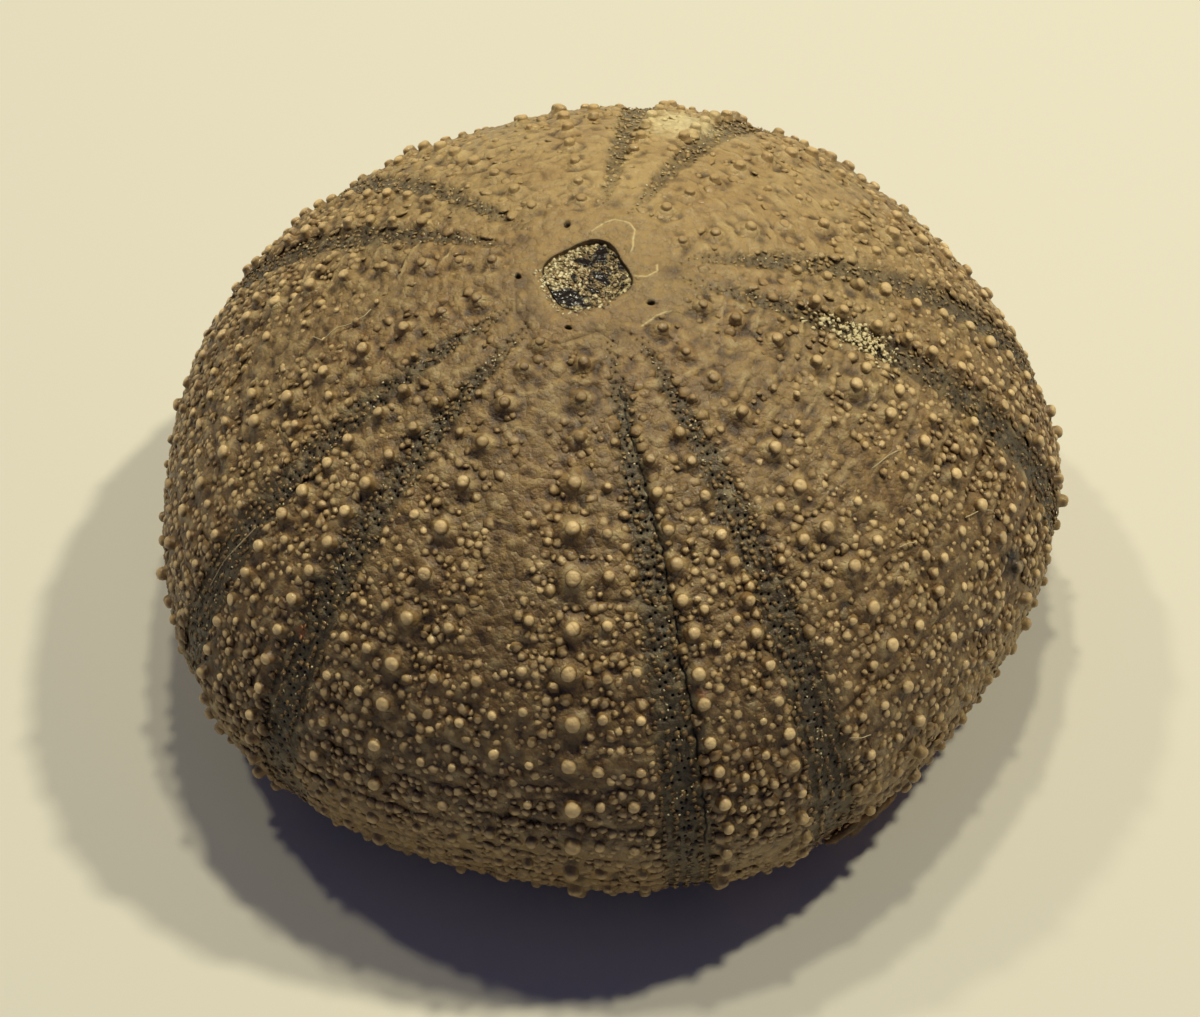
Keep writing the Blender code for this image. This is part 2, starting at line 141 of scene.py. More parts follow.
# Stains of the test: degrees from the first ray, arc in mm, width in degrees, length in mm, and strength.
RUST_STAINS = (
    (-80.0, 34.0, 26.0, 16.0, 0.28),
    (-5.0, 43.2, 1.3, 0.9, 0.9),
    (-64.3, 45.0, 1.3, 0.9, 0.9),
    (14.0, 69.0, 8.0, 3.6, 1.0),
)
CHALK_STAINS = ((61.5, 26.5, 3.2, 3.2, 0.45), (144.0, 30.0, 9.5, 6.0, 0.72))
BLACK_STAINS = ((48.5, 53.4, 4.4, 2.8, 1.0), (19.0, 41.4, 1.9, 1.2, 1.0), (64.5, 60.4, 2.6, 1.8, 1.0))

# Each side of a ray, with which of two alternating orders its plates follow.
SIDES = ((1, 0), (-1, 1))

# ---- Places and measures of the stone's wear, and of its painted light ----
# The side painted palest, a painted sheen of the lamps behind.
PALE_LIT_SIDE = 70.0  # azimuth of the side where the stone is palest
PROUD_AZIMUTH = -96.7  # the column whose main tubercles are the largest
WORN_PLACE = (FIRST_RAY - 49.0, 18.5 * MM)  # where a few tubercles are broken off together
COLUMN_SPAN = (12.7, 35.9)  # where granules grow between two rays, in degrees from a ray
RAY_SPAN = (0.3, 6.5)

# ---- How the meshes are made ----
SEED = 7
CURVE_STEPS = 160
SIDE_LINE = 0.13 * MM  # from a drawn line to the points on either side of it
TUBERCLE_CELL = 2.6 * MM  # cells for the search of neighbours, each wider than the widest reach
SKIN_CELL = 0.5 * MM

# ---- The stage ----
FLOOR_HALF = 3.0  # metres

# The lamps, all of one warm white: azimuth, elevation, distance and width in metres, and power in watts.
LAMPS = {
    "lamp right": (20.0, 56.0, 0.9, 0.06, 4.5),
    "lamp behind right": (64.0, 73.0, 0.6, 0.04, 1.12),
    "lamp behind": (90.0, 67.0, 0.6, 0.04, 1.04),
    "lamp behind left": (137.0, 57.0, 0.9, 0.06, 1.65),
}
LAMP_TARGET = Vector((0.0, 0.0, 20.0)) * MM

# The camera: its lens and film in mm, its place, and which way its right and its top point.
LENS_LENGTH = 109.65
FILM_WIDTH = 36.0
CAMERA_PLACE = Vector((-0.68, -234.01, 304.42)) * MM
CAMERA_RIGHT = Vector((0.99806, -0.04734, -0.04042))
CAMERA_UP = Vector((0.06222, 0.77805, 0.62511))


# ---------------------------------------------------------------- shape of the test


def smooth_ramp(low, high, value):
    """0 at low, 1 at high, with level ends."""
    share = np.clip((value - low) / (high - low), 0.0, 1.0)
    return share * share * (3.0 - 2.0 * share)


def bell(value, width):
    """1 at zero, falling off smoothly over the width."""
    return np.exp(-((value / width) ** 2))


def cubic(*corners):
    """Points along a Bezier curve with these four corners."""
    first, second, third, last = (np.array(corner) for corner in corners)
    t = np.linspace(0.0, 1.0, CURVE_STEPS)[:, None]
    back = 1.0 - t
    return back**3 * first + 3.0 * back**2 * t * second + 3.0 * back * t**2 * third + t**3 * last


def dome_curve():
    """Half of the domed outline, from the crown to the widest part, as (radius, height)."""
    turn = np.linspace(0.0, 1.0, 6 * CURVE_STEPS) ** 1.5 * math.pi / 2.0
    radius = AMBITUS_RADIUS * np.sin(turn) ** (2.0 / SHOULDER_POWER)
    height = BASE_DEPTH + DOME_HEIGHT * np.abs(np.cos(turn)) ** (2.0 / CROWN_POWER)
    return np.column_stack([radius, height])


def skirt_curve():
    """From the widest part down and in to the resting ring."""
    return cubic(
        (AMBITUS_RADIUS, BASE_DEPTH),
        (AMBITUS_RADIUS, 0.42 * BASE_DEPTH),
        (0.86 * AMBITUS_RADIUS, 0.0),
        (RING_OUTER_RADIUS, 0.0),
    )


def mouth_curve():
    """From the resting ring in and up to the mouth's lip."""
    return cubic(
        (RING_INNER_RADIUS, 0.0),
        (0.80 * RING_INNER_RADIUS, 0.0),
        (1.35 * MOUTH_RADIUS, MOUTH_LIP_HEIGHT),
        (MOUTH_RADIUS, MOUTH_LIP_HEIGHT),
    )


class Meridian:
    """Radius, height and chart distance against arc, from the crown recess to the mouth recess."""

    def __init__(self):
        dome = dome_curve()
        dome_arc = np.concatenate([[0.0], np.cumsum(np.linalg.norm(np.diff(dome, axis=0), axis=1))])
        self.rim_arc = float(np.interp(CROWN_OPENING_RADIUS, dome[:, 0], dome_arc))
        self.ambitus_arc = float(dome_arc[-1])
        self.rim_height = float(np.interp(CROWN_OPENING_RADIUS, dome[:, 0], dome[:, 1]))
        floor_edge = CROWN_OPENING_RADIUS - GAP
        floor_height = self.rim_height - CROWN_RECESS
        crown = [(0.2 * floor_edge, floor_height), (floor_edge, floor_height)]
        rim = (CROWN_OPENING_RADIUS, self.rim_height)
        outside = dome[dome[:, 0] > CROWN_OPENING_RADIUS]
        below = [skirt_curve()[1:], mouth_curve(), self.mouth_recess()]
        points = self.refined(np.vstack([crown, [rim], outside, *below]))
        steps = np.linalg.norm(np.diff(points, axis=0), axis=1)
        arc = np.concatenate([[0.0], np.cumsum(steps)])
        rim_index = int(np.argmin(np.linalg.norm(points - rim, axis=1)))
        self.arc = arc + self.rim_arc - arc[rim_index]
        self.radius = points[:, 0]
        self.height = points[:, 1]
        middle = 0.5 * (self.radius[1:] + self.radius[:-1])
        self.chart = np.concatenate([[0.0], np.cumsum(steps / middle)])
        self.tilt = np.arctan2(np.gradient(self.height), np.gradient(self.radius))
        self.ring_arcs = [self.arc_where(radius) for radius in (RING_OUTER_RADIUS, RING_INNER_RADIUS)]
        self.lip_arc = self.arc_where(MOUTH_RADIUS)

    @staticmethod
    def mouth_recess():
        floor_height = MOUTH_LIP_HEIGHT + MOUTH_RECESS
        return np.array([(MOUTH_RADIUS - GAP, floor_height), (0.3 * MOUTH_RADIUS, floor_height)])

    @staticmethod
    def refined(points, longest=0.15 * MM):
        out = [points[:1]]
        for start, end in zip(points[:-1], points[1:]):
            count = max(1, int(np.linalg.norm(end - start) / longest))
            share = (np.arange(count) + 1.0)[:, None] / count
            out.append(start + (end - start) * share)
        return np.vstack(out)

    def arc_where(self, radius):
        under = self.arc > self.ambitus_arc
        return float(np.interp(-radius, -self.radius[under], self.arc[under]))

    def radius_at(self, arc):
        return np.interp(arc, self.arc, self.radius)

    def to_chart(self, arc, azimuth):
        """Arc and azimuth in degrees to one complex chart number."""
        return np.exp(np.interp(arc, self.arc, self.chart)) * np.exp(1j * np.radians(azimuth))

    def from_chart(self, places):
        distance = np.interp(np.log(np.abs(places)), self.chart, self.arc)
        return distance, np.angle(places)

    def scale_at(self, places):
        """Chart length of one metre on the surface."""
        arc, _ = self.from_chart(places)
        return np.abs(places) / self.radius_at(arc)


def outline_swell(angle):
    """How much wider than round the test is at each angle: a blunt pentagon, a little oval and lopsided."""
    share = PENTAGON * np.cos(RAYS * (angle - math.radians(FIRST_RAY)))
    share += OVAL[0] * np.cos(2.0 * angle) + OVAL[1] * np.sin(2.0 * angle)
    return share + LOPSIDED[0] * np.cos(3.0 * angle) + LOPSIDED[1] * np.sin(3.0 * angle)


def opening_swell(angle):
    """How much wider than round the crown opening is at each angle."""
    share = np.zeros_like(angle)
    for waves, (cosine, sine) in OPENING_WAVES.items():
        share += cosine * np.cos(waves * angle) + sine * np.sin(waves * angle)
    return share


def surface_points(meridian, places, lifts=0.0):
    """Chart places, each lifted off the surface by its own height, as points in space."""
    arc, angle = meridian.from_chart(places)
    radius = np.interp(arc, meridian.arc, meridian.radius)
    height = np.interp(arc, meridian.arc, meridian.height)
    tilt = np.interp(arc, meridian.arc, meridian.tilt)
    radius = radius * (1.0 + outline_swell(angle) * (radius / AMBITUS_RADIUS) ** 2)
    near_opening = 1.0 - smooth_ramp(CROWN_OPENING_RADIUS, OPENING_FADE_ARC, arc)
    radius = radius * (1.0 + near_opening * opening_swell(angle))
    radius = radius - lifts * np.sin(tilt)
    height = np.maximum(height + lifts * np.cos(tilt), 0.0)
    x = radius * np.cos(angle) + near_opening * OPENING_CENTRE[0] + FOOTPRINT_SHIFT[0]
    y = radius * np.sin(angle) + near_opening * OPENING_CENTRE[1] + FOOTPRINT_SHIFT[1]
    return np.column_stack([x, y, height])


def surface_normals(meridian, places):
    """Directions square to the round surface, without its relief."""
    arc, angle = meridian.from_chart(places)
    tilt = np.interp(arc, meridian.arc, meridian.tilt)
    return np.column_stack([-np.sin(tilt) * np.cos(angle), -np.sin(tilt) * np.sin(angle), np.cos(tilt)])


def unit_vectors(vectors):
    """The same directions, each of length 1."""
    return vectors / np.linalg.norm(vectors, axis=1)[:, None]


def degrees_from_ray(angle):
    """Degrees from the nearest ray, to either side."""
    turned = np.degrees(angle) - FIRST_RAY
    return turned - np.round(turned / RAY_STEP) * RAY_STEP


def noise_values(points, wavelength, octaves, offset):
    """Smooth noise from about -1 to 1 at each point; each offset gives a pattern of its own."""
    scaled = points / wavelength + offset
    return np.array([noise.fractal(Vector(point), 1.0, 2.0, octaves) for point in scaled])


def point_tree(points):
    """The points in a tree that finds those near a place."""
    tree = kdtree.KDTree(len(points))
    for index, point in enumerate(points):
        tree.insert(point, index)
    tree.balance()
    return tree


# ---------------------------------------------------------------- where the tubercles stand


class Sites:
    """Tubercles of one kind: arc, azimuth, foot radius, size from 0 to 1, and how worn each is."""

    def __init__(self, meridian, rows):
        self.table = np.array(rows, float).reshape(-1, 5)
        self.arc, self.azimuth, self.foot, self.size, self.worn = self.table.T
        self.places = meridian.to_chart(self.arc, self.azimuth)
        self.points = surface_points(meridian, self.places)

    def picked(self, meridian, mask):
        """A new set with only the masked sites."""
        return Sites(meridian, self.table[mask])


class NearGrid:
    """Points in small cells, each with its own reach, so that those near a new point are quickly found."""

    def __init__(self, cell):
        self.cell = cell
        self.held = {}

    def cell_of(self, point):
        return [math.floor(value / self.cell) for value in point]

    def add(self, point, reach):
        self.held.setdefault(tuple(self.cell_of(point)), []).append((*point, reach))

    def is_free(self, point, reach):
        """Whether no held point is nearer than the two reaches together."""
        x, y, z = point
        for key in product(*(range(cell - 1, cell + 2) for cell in self.cell_of(point))):
            for other_x, other_y, other_z, other_reach in self.held.get(key, ()):
                near = reach + other_reach
                if (other_x - x) ** 2 + (other_y - y) ** 2 + (other_z - z) ** 2 < near * near:
                    return False
        return True


def columns():
    """Middle of its ray in degrees, side and order of each of the ten runs of plates."""
    for ray in range(RAYS):
        for side, order in SIDES:
            yield FIRST_RAY + RAY_STEP * ray, side, order


def pore_zones():
    """Middle of its ray in degrees, and side, of each of the ten pore zones."""
    for ray in range(RAYS):
        for side in (-1, 1):
            yield FIRST_RAY + RAY_STEP * ray, side


def plate_arcs(first, pitch, last, crowding):
    """Arcs of the plates' middles down one column, crowded near the crown and under the edge."""
    arcs = []
    arc = first
    while arc < last:
        arcs.append(arc)
        near_crown = crowding * math.exp(-(arc - PRIMARY_FIRST_ARC[0]) / (5.5 * MM))
        under_edge = 0.22 * smooth_ramp(58.0 * MM, 76.0 * MM, arc)
        arc += pitch * (1.0 - near_crown - under_edge)
    return arcs


def column_arcs(order, last):
    """The plates between two rays."""
    return plate_arcs(PRIMARY_FIRST_ARC[order], PLATE_HEIGHT, last, 0.27)


def ray_column_arcs(order, last):
    """The plates within a ray."""
    return plate_arcs(RAY_FIRST_ARC[order], RAY_PLATE_HEIGHT, last, 0.0)


def grown_share(arc, young):
    """Tubercles are smaller near the crown and again on the underside."""
    grown = young + (1.0 - young) * smooth_ramp(8.0 * MM, 36.0 * MM, arc)
    return grown - 0.25 * smooth_ramp(66.0 * MM, 84.0 * MM, arc)


def worn_share(rng, arc, azimuth):
    """0 for a sound tubercle, 1 for one worn down to its boss."""
    broken = bell(azimuth - WORN_PLACE[0], 6.0) * bell(arc - WORN_PLACE[1], 3.4 * MM)
    return max(float(broken > 0.45), float(rng.random() < 0.03))


def column_sites(meridian, rng, arcs_of, angle, foot, shake, young, sizes, proud):
    """A tubercle on every plate of the columns at an angle from the rays; shake is in mm."""
    rows = []
    for middle, side, order in columns():
        for arc in arcs_of(order, meridian.lip_arc - 2.0 * MM):
            if ring_is_bare(meridian, arc):
                continue
            azimuth = middle + side * (angle + rng.uniform(-0.4, 0.4))
            shifted = arc + rng.uniform(-shake, shake) * MM
            size = grown_share(arc, young) * rng.uniform(*sizes)
            size *= 1.0 + proud * bell(azimuth - PROUD_AZIMUTH, 6.0)
            rows.append((shifted, azimuth, size * foot, size, worn_share(rng, arc, azimuth)))
    return Sites(meridian, rows)


def ring_is_bare(meridian, arc):
    """The resting ring is worn level and carries no tubercles."""
    return meridian.ring_arcs[0] - 1.0 * MM < arc < meridian.ring_arcs[1] + 1.0 * MM


def secondary_sites(meridian, rng):
    """Lesser tubercles in rows beside the main ones, and a few between the ray's own columns."""
    rows = []
    for middle, side, order in columns():
        arcs = column_arcs(order, meridian.ring_arcs[0] - 1.5 * MM)
        for step, begins in SECONDARY_ROWS:
            for arc in arcs:
                early = arc < begins
                if arc < begins - 14.0 * MM or (early and rng.random() < 0.45):
                    continue
                turn = math.degrees((step + rng.uniform(-0.45, 0.45) * MM) / meridian.radius_at(arc))
                if not ZONE_OUTER_ANGLE + 0.5 < PRIMARY_ANGLE + turn < COLUMN_SPAN[1] - 0.5:
                    continue
                azimuth = middle + side * (PRIMARY_ANGLE + turn)
                size = rng.uniform(0.55, 0.75) if early else rng.uniform(0.84, 1.12)
                shifted = arc + rng.uniform(-0.5, 0.5) * MM
                worn = worn_share(rng, shifted, azimuth)
                rows.append((shifted, azimuth, size * SECONDARY_RADIUS, size, worn))
        for arc in ray_column_arcs(order, meridian.ring_arcs[0] - 1.5 * MM):
            if arc > 32.0 * MM and rng.random() < 0.8:
                azimuth = middle + side * rng.uniform(1.2, 2.6)
                size = rng.uniform(0.6, 0.9)
                rows.append((arc + 1.3 * MM, azimuth, size * SECONDARY_RADIUS, size, 0.0))
    return Sites(meridian, rows)


def granule_sites(meridian, rng):
    """Rows of granules one under another down every plate, and up the rays past their first tubercles."""
    rows = []
    for middle, side, order in columns():
        arcs = column_arcs(order, meridian.ring_arcs[0])
        for arc, following in zip(arcs, arcs[1:]):
            for share in (-0.40, -0.23, -0.06, 0.11, 0.28):
                row_arc = arc + share * (following - arc)
                rows.extend(granule_row(meridian, rng, row_arc, middle, side, COLUMN_SPAN, 0.84 * MM))
        higher = [RAY_FIRST_ARC[order] - step * RAY_PLATE_HEIGHT * 0.8 for step in (1, 2, 3)]
        for arc in higher + ray_column_arcs(order, meridian.ring_arcs[0]):
            for share in (-0.38, -0.12, 0.14, 0.42):
                row_arc = arc + share * RAY_PLATE_HEIGHT
                rows.extend(granule_row(meridian, rng, row_arc, middle, side, RAY_SPAN, 0.86 * MM))
    return Sites(meridian, rows)


def granule_row(meridian, rng, row_arc, middle, side, span, step):
    """One row of granules across part of a plate; rows fill in towards the widest part."""
    rows = []
    radius = meridian.radius_at(row_arc)
    along = span[0] + rng.random()
    present = 0.30 + 0.66 * smooth_ramp(14.0 * MM, 42.0 * MM, row_arc)
    bare_middle = 1.0 - smooth_ramp(36.0 * MM, 44.0 * MM, row_arc)
    larger = 1.0 + 0.16 * smooth_ramp(36.0 * MM, 50.0 * MM, row_arc)
    while along < span[1]:
        azimuth = middle + side * along
        bare = bare_middle * smooth_ramp(31.5, 34.0, along)
        browned_and_shaded = smooth_ramp(0.15, 0.50, patina_and_painted_light_share(row_arc, math.radians(azimuth)))
        if rng.random() < present * (1.0 - bare) * (0.45 + 0.55 * browned_and_shaded):
            size = (0.50 + 0.62 * rng.random() ** 1.4) * larger
            arc = row_arc + rng.uniform(-0.28, 0.28) * MM
            flat = 0.55 * (1.0 - smooth_ramp(18.0 * MM, 38.0 * MM, arc))
            rows.append((arc, azimuth, size * GRANULE_RADIUS, size, flat))
        along += math.degrees(step * rng.uniform(0.8, 1.25) / radius)
    return rows


def pore_rows(meridian, rng):
    """Pore pairs down both zones of every ray, in short slanting threes."""
    pores = []
    for middle, side in pore_zones():
        arc = DISC_ARC + 0.8 * MM
        count = 0
        while arc < meridian.ring_arcs[0] - 1.0 * MM:
            radius = meridian.radius_at(arc)
            half_width = math.radians(0.5 * (ZONE_OUTER_ANGLE - ZONE_INNER_ANGLE)) * radius
            centre = math.radians(0.5 * (ZONE_OUTER_ANGLE + ZONE_INNER_ANGLE)) * radius
            slant = (count % 3 - 1) * min(0.55 * MM, 0.45 * half_width)
            pair_width = min(PORE_PAIR_WIDTH, 0.95 * half_width)
            for across, down in ((-0.5, -0.10 * MM), (0.5, 0.10 * MM)):
                offset = centre + slant + across * pair_width + rng.uniform(-0.10, 0.10) * MM
                azimuth = middle + side * math.degrees(offset / radius)
                if rng.random() < 0.9:
                    pores.append((arc + down + rng.uniform(-0.10, 0.10) * MM, azimuth))
            arc += PORE_PAIR_STEP * (0.62 + 0.38 * smooth_ramp(8.0 * MM, 26.0 * MM, arc))
            count += 1
    return np.array(pores)


def thin_out(meridian, sites, firm_sets, spare):
    """The sites that keep clear of larger tubercles, of pores and of each other."""
    grid = NearGrid(TUBERCLE_CELL)
    for firm in firm_sets:
        for point, foot in zip(firm.points.tolist(), firm.foot):
            grid.add(point, foot)
    kept = []
    for point, foot in zip(sites.points.tolist(), sites.foot):
        kept.append(grid.is_free(point, foot + spare))
        if kept[-1]:
            grid.add(point, foot)
    return sites.picked(meridian, kept)


# ---------------------------------------------------------------- relief of the skin


def plate_boundaries(arcs):
    """Arcs of the seams between one column's plates."""
    arcs = np.array(arcs)
    inner = 0.5 * (arcs[1:] + arcs[:-1])
    return np.concatenate([[arcs[0] - 0.55 * (arcs[1] - arcs[0])], inner])


def seam_sag(step):
    """How far a plate's seam bends down the test, most at its boss; step is the distance from the boss."""
    return 0.55 * MM * bell(step, 1.9 * MM) + 0.10 * MM * np.sin(step / (0.62 * MM))


def seam_offsets(meridian, arc, from_ray):
    """Signed distance down the test from the nearest plate seam."""
    offset = np.full(len(arc), 9.0 * MM)
    aside = np.abs(from_ray)
    from_boss = np.radians(aside - PRIMARY_ANGLE) * meridian.radius_at(arc)
    from_ray_boss = np.radians(aside - RAY_ANGLE) * meridian.radius_at(arc)
    column_arc = arc - seam_sag(from_boss)
    ray_arc = arc - 0.30 * MM * bell(from_ray_boss, 1.3 * MM)
    for side, order in SIDES:
        on_side = np.sign(from_ray) == side
        for arcs_of, sagging, mask in (
            (column_arcs, column_arc, on_side & (aside > ZONE_OUTER_ANGLE)),
            (ray_column_arcs, ray_arc, on_side & (aside <= ZONE_INNER_ANGLE)),
        ):
            seams = plate_boundaries(arcs_of(order, meridian.ring_arcs[0]))
            offset = np.where(mask, past_seam(sagging, seams), offset)
    return offset


def past_seam(arc, seams):
    """Signed distance from the nearer of the two seams that each arc lies between."""
    index = np.clip(np.searchsorted(seams, arc), 1, len(seams) - 1)
    below = arc - seams[index - 1]
    above = arc - seams[index]
    return np.where(np.abs(below) < np.abs(above), below, above)


def seam_relief(meridian, arc, from_ray, points):
    """A pale raised lip on each plate's lower edge with a hollow line beneath it, both broken in places."""
    offset = seam_offsets(meridian, arc, from_ray)
    offset = offset + 0.42 * MM * noise_values(points, 1.9 * MM, 2, 31.0)
    upper = smooth_ramp(9.0 * MM, 15.0 * MM, arc)
    lower = smooth_ramp(30.0 * MM, 46.0 * MM, arc)
    in_ray = np.abs(from_ray) <= ZONE_INNER_ANGLE
    whole = smooth_ramp(-0.45, 0.45, noise_values(points, 3.2 * MM, 2, 77.0))
    strength = upper * np.where(in_ray, 0.6, 1.0) * (0.12 + 0.38 * lower + (0.88 - 0.38 * lower) * whole)
    lip = strength * SEAM_LIP * bell(offset + 0.30 * MM, 0.17 * MM) * (1.0 - 0.6 * lower) * whole
    broken = 0.55 + 0.45 * smooth_ramp(-0.3, 0.5, noise_values(points, 2.1 * MM, 2, 19.0))
    width = (0.20 + 0.24 * lower) * MM
    groove = broken * strength * (0.09 * MM + 0.09 * MM * lower) * bell(offset - 0.12 * MM, width)
    return lip - groove, lip / SEAM_LIP, groove / (0.24 * MM)


def zone_share(arc, from_ray, ragged):
    """1 inside a pore zone, 0 outside, fading at its ragged edges."""
    width = np.abs(from_ray) + 0.9 * ragged
    inside = smooth_ramp(ZONE_INNER_ANGLE - 0.9, ZONE_INNER_ANGLE + 0.6, width)
    inside = inside * (1.0 - smooth_ramp(ZONE_OUTER_ANGLE - 0.6, ZONE_OUTER_ANGLE + 0.9, width))
    return inside * smooth_ramp(7.5 * MM, 16.0 * MM, arc)


def boss_share(sites):
    """Bosses stand highest near the crown where the patina and painted light share makes the stone brown, and
    lowest under the widest part.
    """
    browned_and_shaded = smooth_ramp(0.30, 0.60, patina_and_painted_light_share(sites.arc, np.radians(sites.azimuth)))
    crowned = 0.45 * browned_and_shaded * (1.0 - smooth_ramp(16.0 * MM, 34.0 * MM, sites.arc))
    return 1.0 + crowned - 0.6 * smooth_ramp(37.0 * MM, 52.0 * MM, sites.arc)


def boss_relief(points, sites, height, areole):
    """Low cones under tubercles, each in a slight hollow, summed over the skin's points."""
    tree = point_tree(points)
    rise = np.zeros(len(points))
    for point, foot, size in zip(sites.points, sites.foot, sites.size * boss_share(sites)):
        for _, index, distance in tree.find_range(point, 1.75 * foot):
            share = distance / foot
            if share < 1.18:
                rise[index] += size * height * (1.0 - smooth_ramp(0.18, 1.18, share))
            rise[index] -= size * areole * bell(share - 1.25, 0.28)
    return rise


def path_distance(points, line):
    """Distance from each point to a polyline of closely set points."""
    tree = point_tree(line)
    return np.array([tree.find(point)[2] for point in points])


def path_places(meridian, corners, spacing):
    """A jagged chart path through (degrees from the first ray, arc in mm) corners."""
    azimuths, arcs = np.array(corners).T
    azimuths = azimuths + FIRST_RAY
    arcs = arcs * MM
    share = np.linspace(0.0, 1.0, int((arcs[-1] - arcs[0]) / spacing))
    knots = np.linspace(0.0, 1.0, len(corners))
    along = np.interp(share, knots, arcs)
    jag = np.array([noise.fractal(Vector((value / (2.4 * MM), 0.0, 4.0)), 0.8, 2.0, 3) for value in along])
    fine_jag = np.array([noise.noise(Vector((value / (0.55 * MM), 3.0, 8.0))) for value in along])
    aside = 0.34 * MM * jag + 0.16 * MM * fine_jag
    turn = np.interp(share, knots, azimuths) + np.degrees(aside / meridian.radius_at(along))
    return meridian.to_chart(along, turn)


def drawn_line(meridian, corners, spacing):
    """Chart places along a smooth line through (azimuth, arc in mm) corners."""
    azimuths, arcs = np.array(corners).T
    places = meridian.to_chart(arcs * MM, azimuths)
    steps = np.abs(np.diff(places)) / meridian.scale_at(places[1:])
    knots = np.concatenate([[0.0], np.cumsum(steps)])
    along = np.arange(0.0, knots[-1], spacing)
    return np.interp(along, knots, places.real) + 1j * np.interp(along, knots, places.imag)


def with_sides(meridian, line, along):
    """A chart line with a parallel line close by on either side; along is its direction at each place."""
    aside = 1j * along / np.abs(along) * meridian.scale_at(line) * SIDE_LINE
    return np.concatenate([line, line + aside, line - aside])


def line_share(meridian, points, corners, width):
    """1 on a drawn line, fading to 0 across its width."""
    line = drawn_line(meridian, corners, 0.12 * MM)
    return bell(path_distance(points, surface_points(meridian, line)), width)


def crown_marks(meridian, points):
    """Pale raised edges of the sieve plate, and dirt along the disc's edge and in its corners."""
    pale = np.zeros(len(points))
    for corners in SIEVE_PLATE_EDGES:
        pale = np.maximum(pale, line_share(meridian, points, corners, 0.09 * MM))
    edge = line_share(meridian, points, DISC_EDGE, 0.10 * MM)
    spots = np.zeros(len(points))
    ragged = 1.0 + 0.6 * noise_values(points, 0.9 * MM, 2, 71.0)
    for azimuth, arc, reach in DIRTY_SPOTS:
        middle = surface_points(meridian, meridian.to_chart(np.array([arc * MM]), azimuth))
        distance = np.linalg.norm(points - middle, axis=1) * ragged
        spots = np.maximum(spots, 0.8 * bell(distance, 0.95 * reach * MM))
    return pale, edge, spots


# ---------------------------------------------------------------- points of the skin


def unit_ring(count, start=0.0):
    """Evenly turned places on a circle of radius 1, as complex numbers."""
    return np.exp(1j * math.tau * (np.arange(count) + start) / count)


def tubercle_rings(meridian, sites, layout, last_arc):
    """Rings of skin points round each tubercle, from (share of the foot, number of points) pairs."""
    places = []
    scales = meridian.scale_at(sites.places)
    for place, foot, scale, arc in zip(sites.places, sites.foot, scales, sites.arc):
        if arc > last_arc:
            continue
        for share, count in layout:
            places.extend(place + share * foot * scale * unit_ring(count, 0.5 * share))
    return places


def seam_lines(meridian):
    """Points that follow each plate seam, so that its lip and hollow keep a crisp line."""
    places = []
    for middle, side, order in columns():
        for seam in plate_boundaries(column_arcs(order, 66.0 * MM)):
            radius = meridian.radius_at(seam)
            step = np.arange(math.radians(-11.6) * radius, math.radians(12.7) * radius, 0.42 * MM)
            azimuth = middle + side * (PRIMARY_ANGLE + np.degrees(step / radius))
            for offset in (-0.50 * MM, -0.26 * MM, -0.06 * MM, 0.16 * MM, 0.42 * MM):
                places.extend(meridian.to_chart(seam + seam_sag(step) + offset, azimuth))
    return places


def pit_places(meridian, centres, radius, floor, rings, grown, painted_shade):
    """Centre, wall and rim points of round pits, with their lifts and how dark each is painted, as painted
    shade in the pit.
    """
    scales = meridian.scale_at(centres)
    places, lifts, tones = [centres], [floor * grown], [painted_shade]
    for share, count, lift, tone in rings:
        reach = share * radius * grown * scales
        places.append((centres[:, None] + reach[:, None] * unit_ring(count)).ravel())
        lifts.append(np.repeat(lift * grown, count))
        tones.append(np.repeat(tone * painted_shade, count))
    return [np.concatenate(parts) for parts in (places, lifts, tones)]


def pore_places(meridian, pores):
    """Points of every pore, with their lifts and painted shade; pores are finer and less shaded near the
    crown.
    """
    arc, azimuth = pores.T
    grown = 0.55 + 0.45 * smooth_ramp(9.0 * MM, 26.0 * MM, arc)
    painted_shade = 0.35 + 0.65 * smooth_ramp(9.0 * MM, 24.0 * MM, arc)
    rings = ((0.75, 6, -0.7 * PORE_DEPTH, 1.0), (1.25, 8, 0.02 * MM, 0.25))
    return pit_places(meridian, meridian.to_chart(arc, azimuth), PORE_RADIUS, -PORE_DEPTH, rings, grown, painted_shade)


def gonopore_places(meridian):
    """Points of the four open egg pores round the crown, with their lifts and painted shade."""
    rings = ((0.55, 8, -0.85 * MM, 1.0), (0.85, 12, -0.35 * MM, 0.9), (1.15, 14, 0.05 * MM, 0.1))
    pits = []
    for gap in (0, 2, 3, 4):
        centre = meridian.to_chart(np.array([GONOPORE_ARC]), FIRST_RAY + (gap + 0.5) * RAY_STEP)
        pits.append(pit_places(meridian, centre, GONOPORE_RADIUS, -0.9 * MM, rings, np.ones(1), np.ones(1)))
    return [np.concatenate(parts) for parts in zip(*pits)]


def polar_fill(meridian, rng, first, last, spacing):
    """Staggered rings of points about as far apart as the spacing, shaken a little."""
    places = []
    arc = first
    row = 0
    while arc < last:
        count = max(12, int(math.tau * meridian.radius_at(arc) / spacing))
        turns = (np.arange(count) + 0.5 * (row % 2) + rng.uniform(-0.16, 0.16, count)) * 360.0 / count
        arcs = arc + rng.uniform(-0.14, 0.14, count) * spacing
        places.extend(meridian.to_chart(arcs, turns))
        arc += 0.87 * spacing
        row += 1
    return places


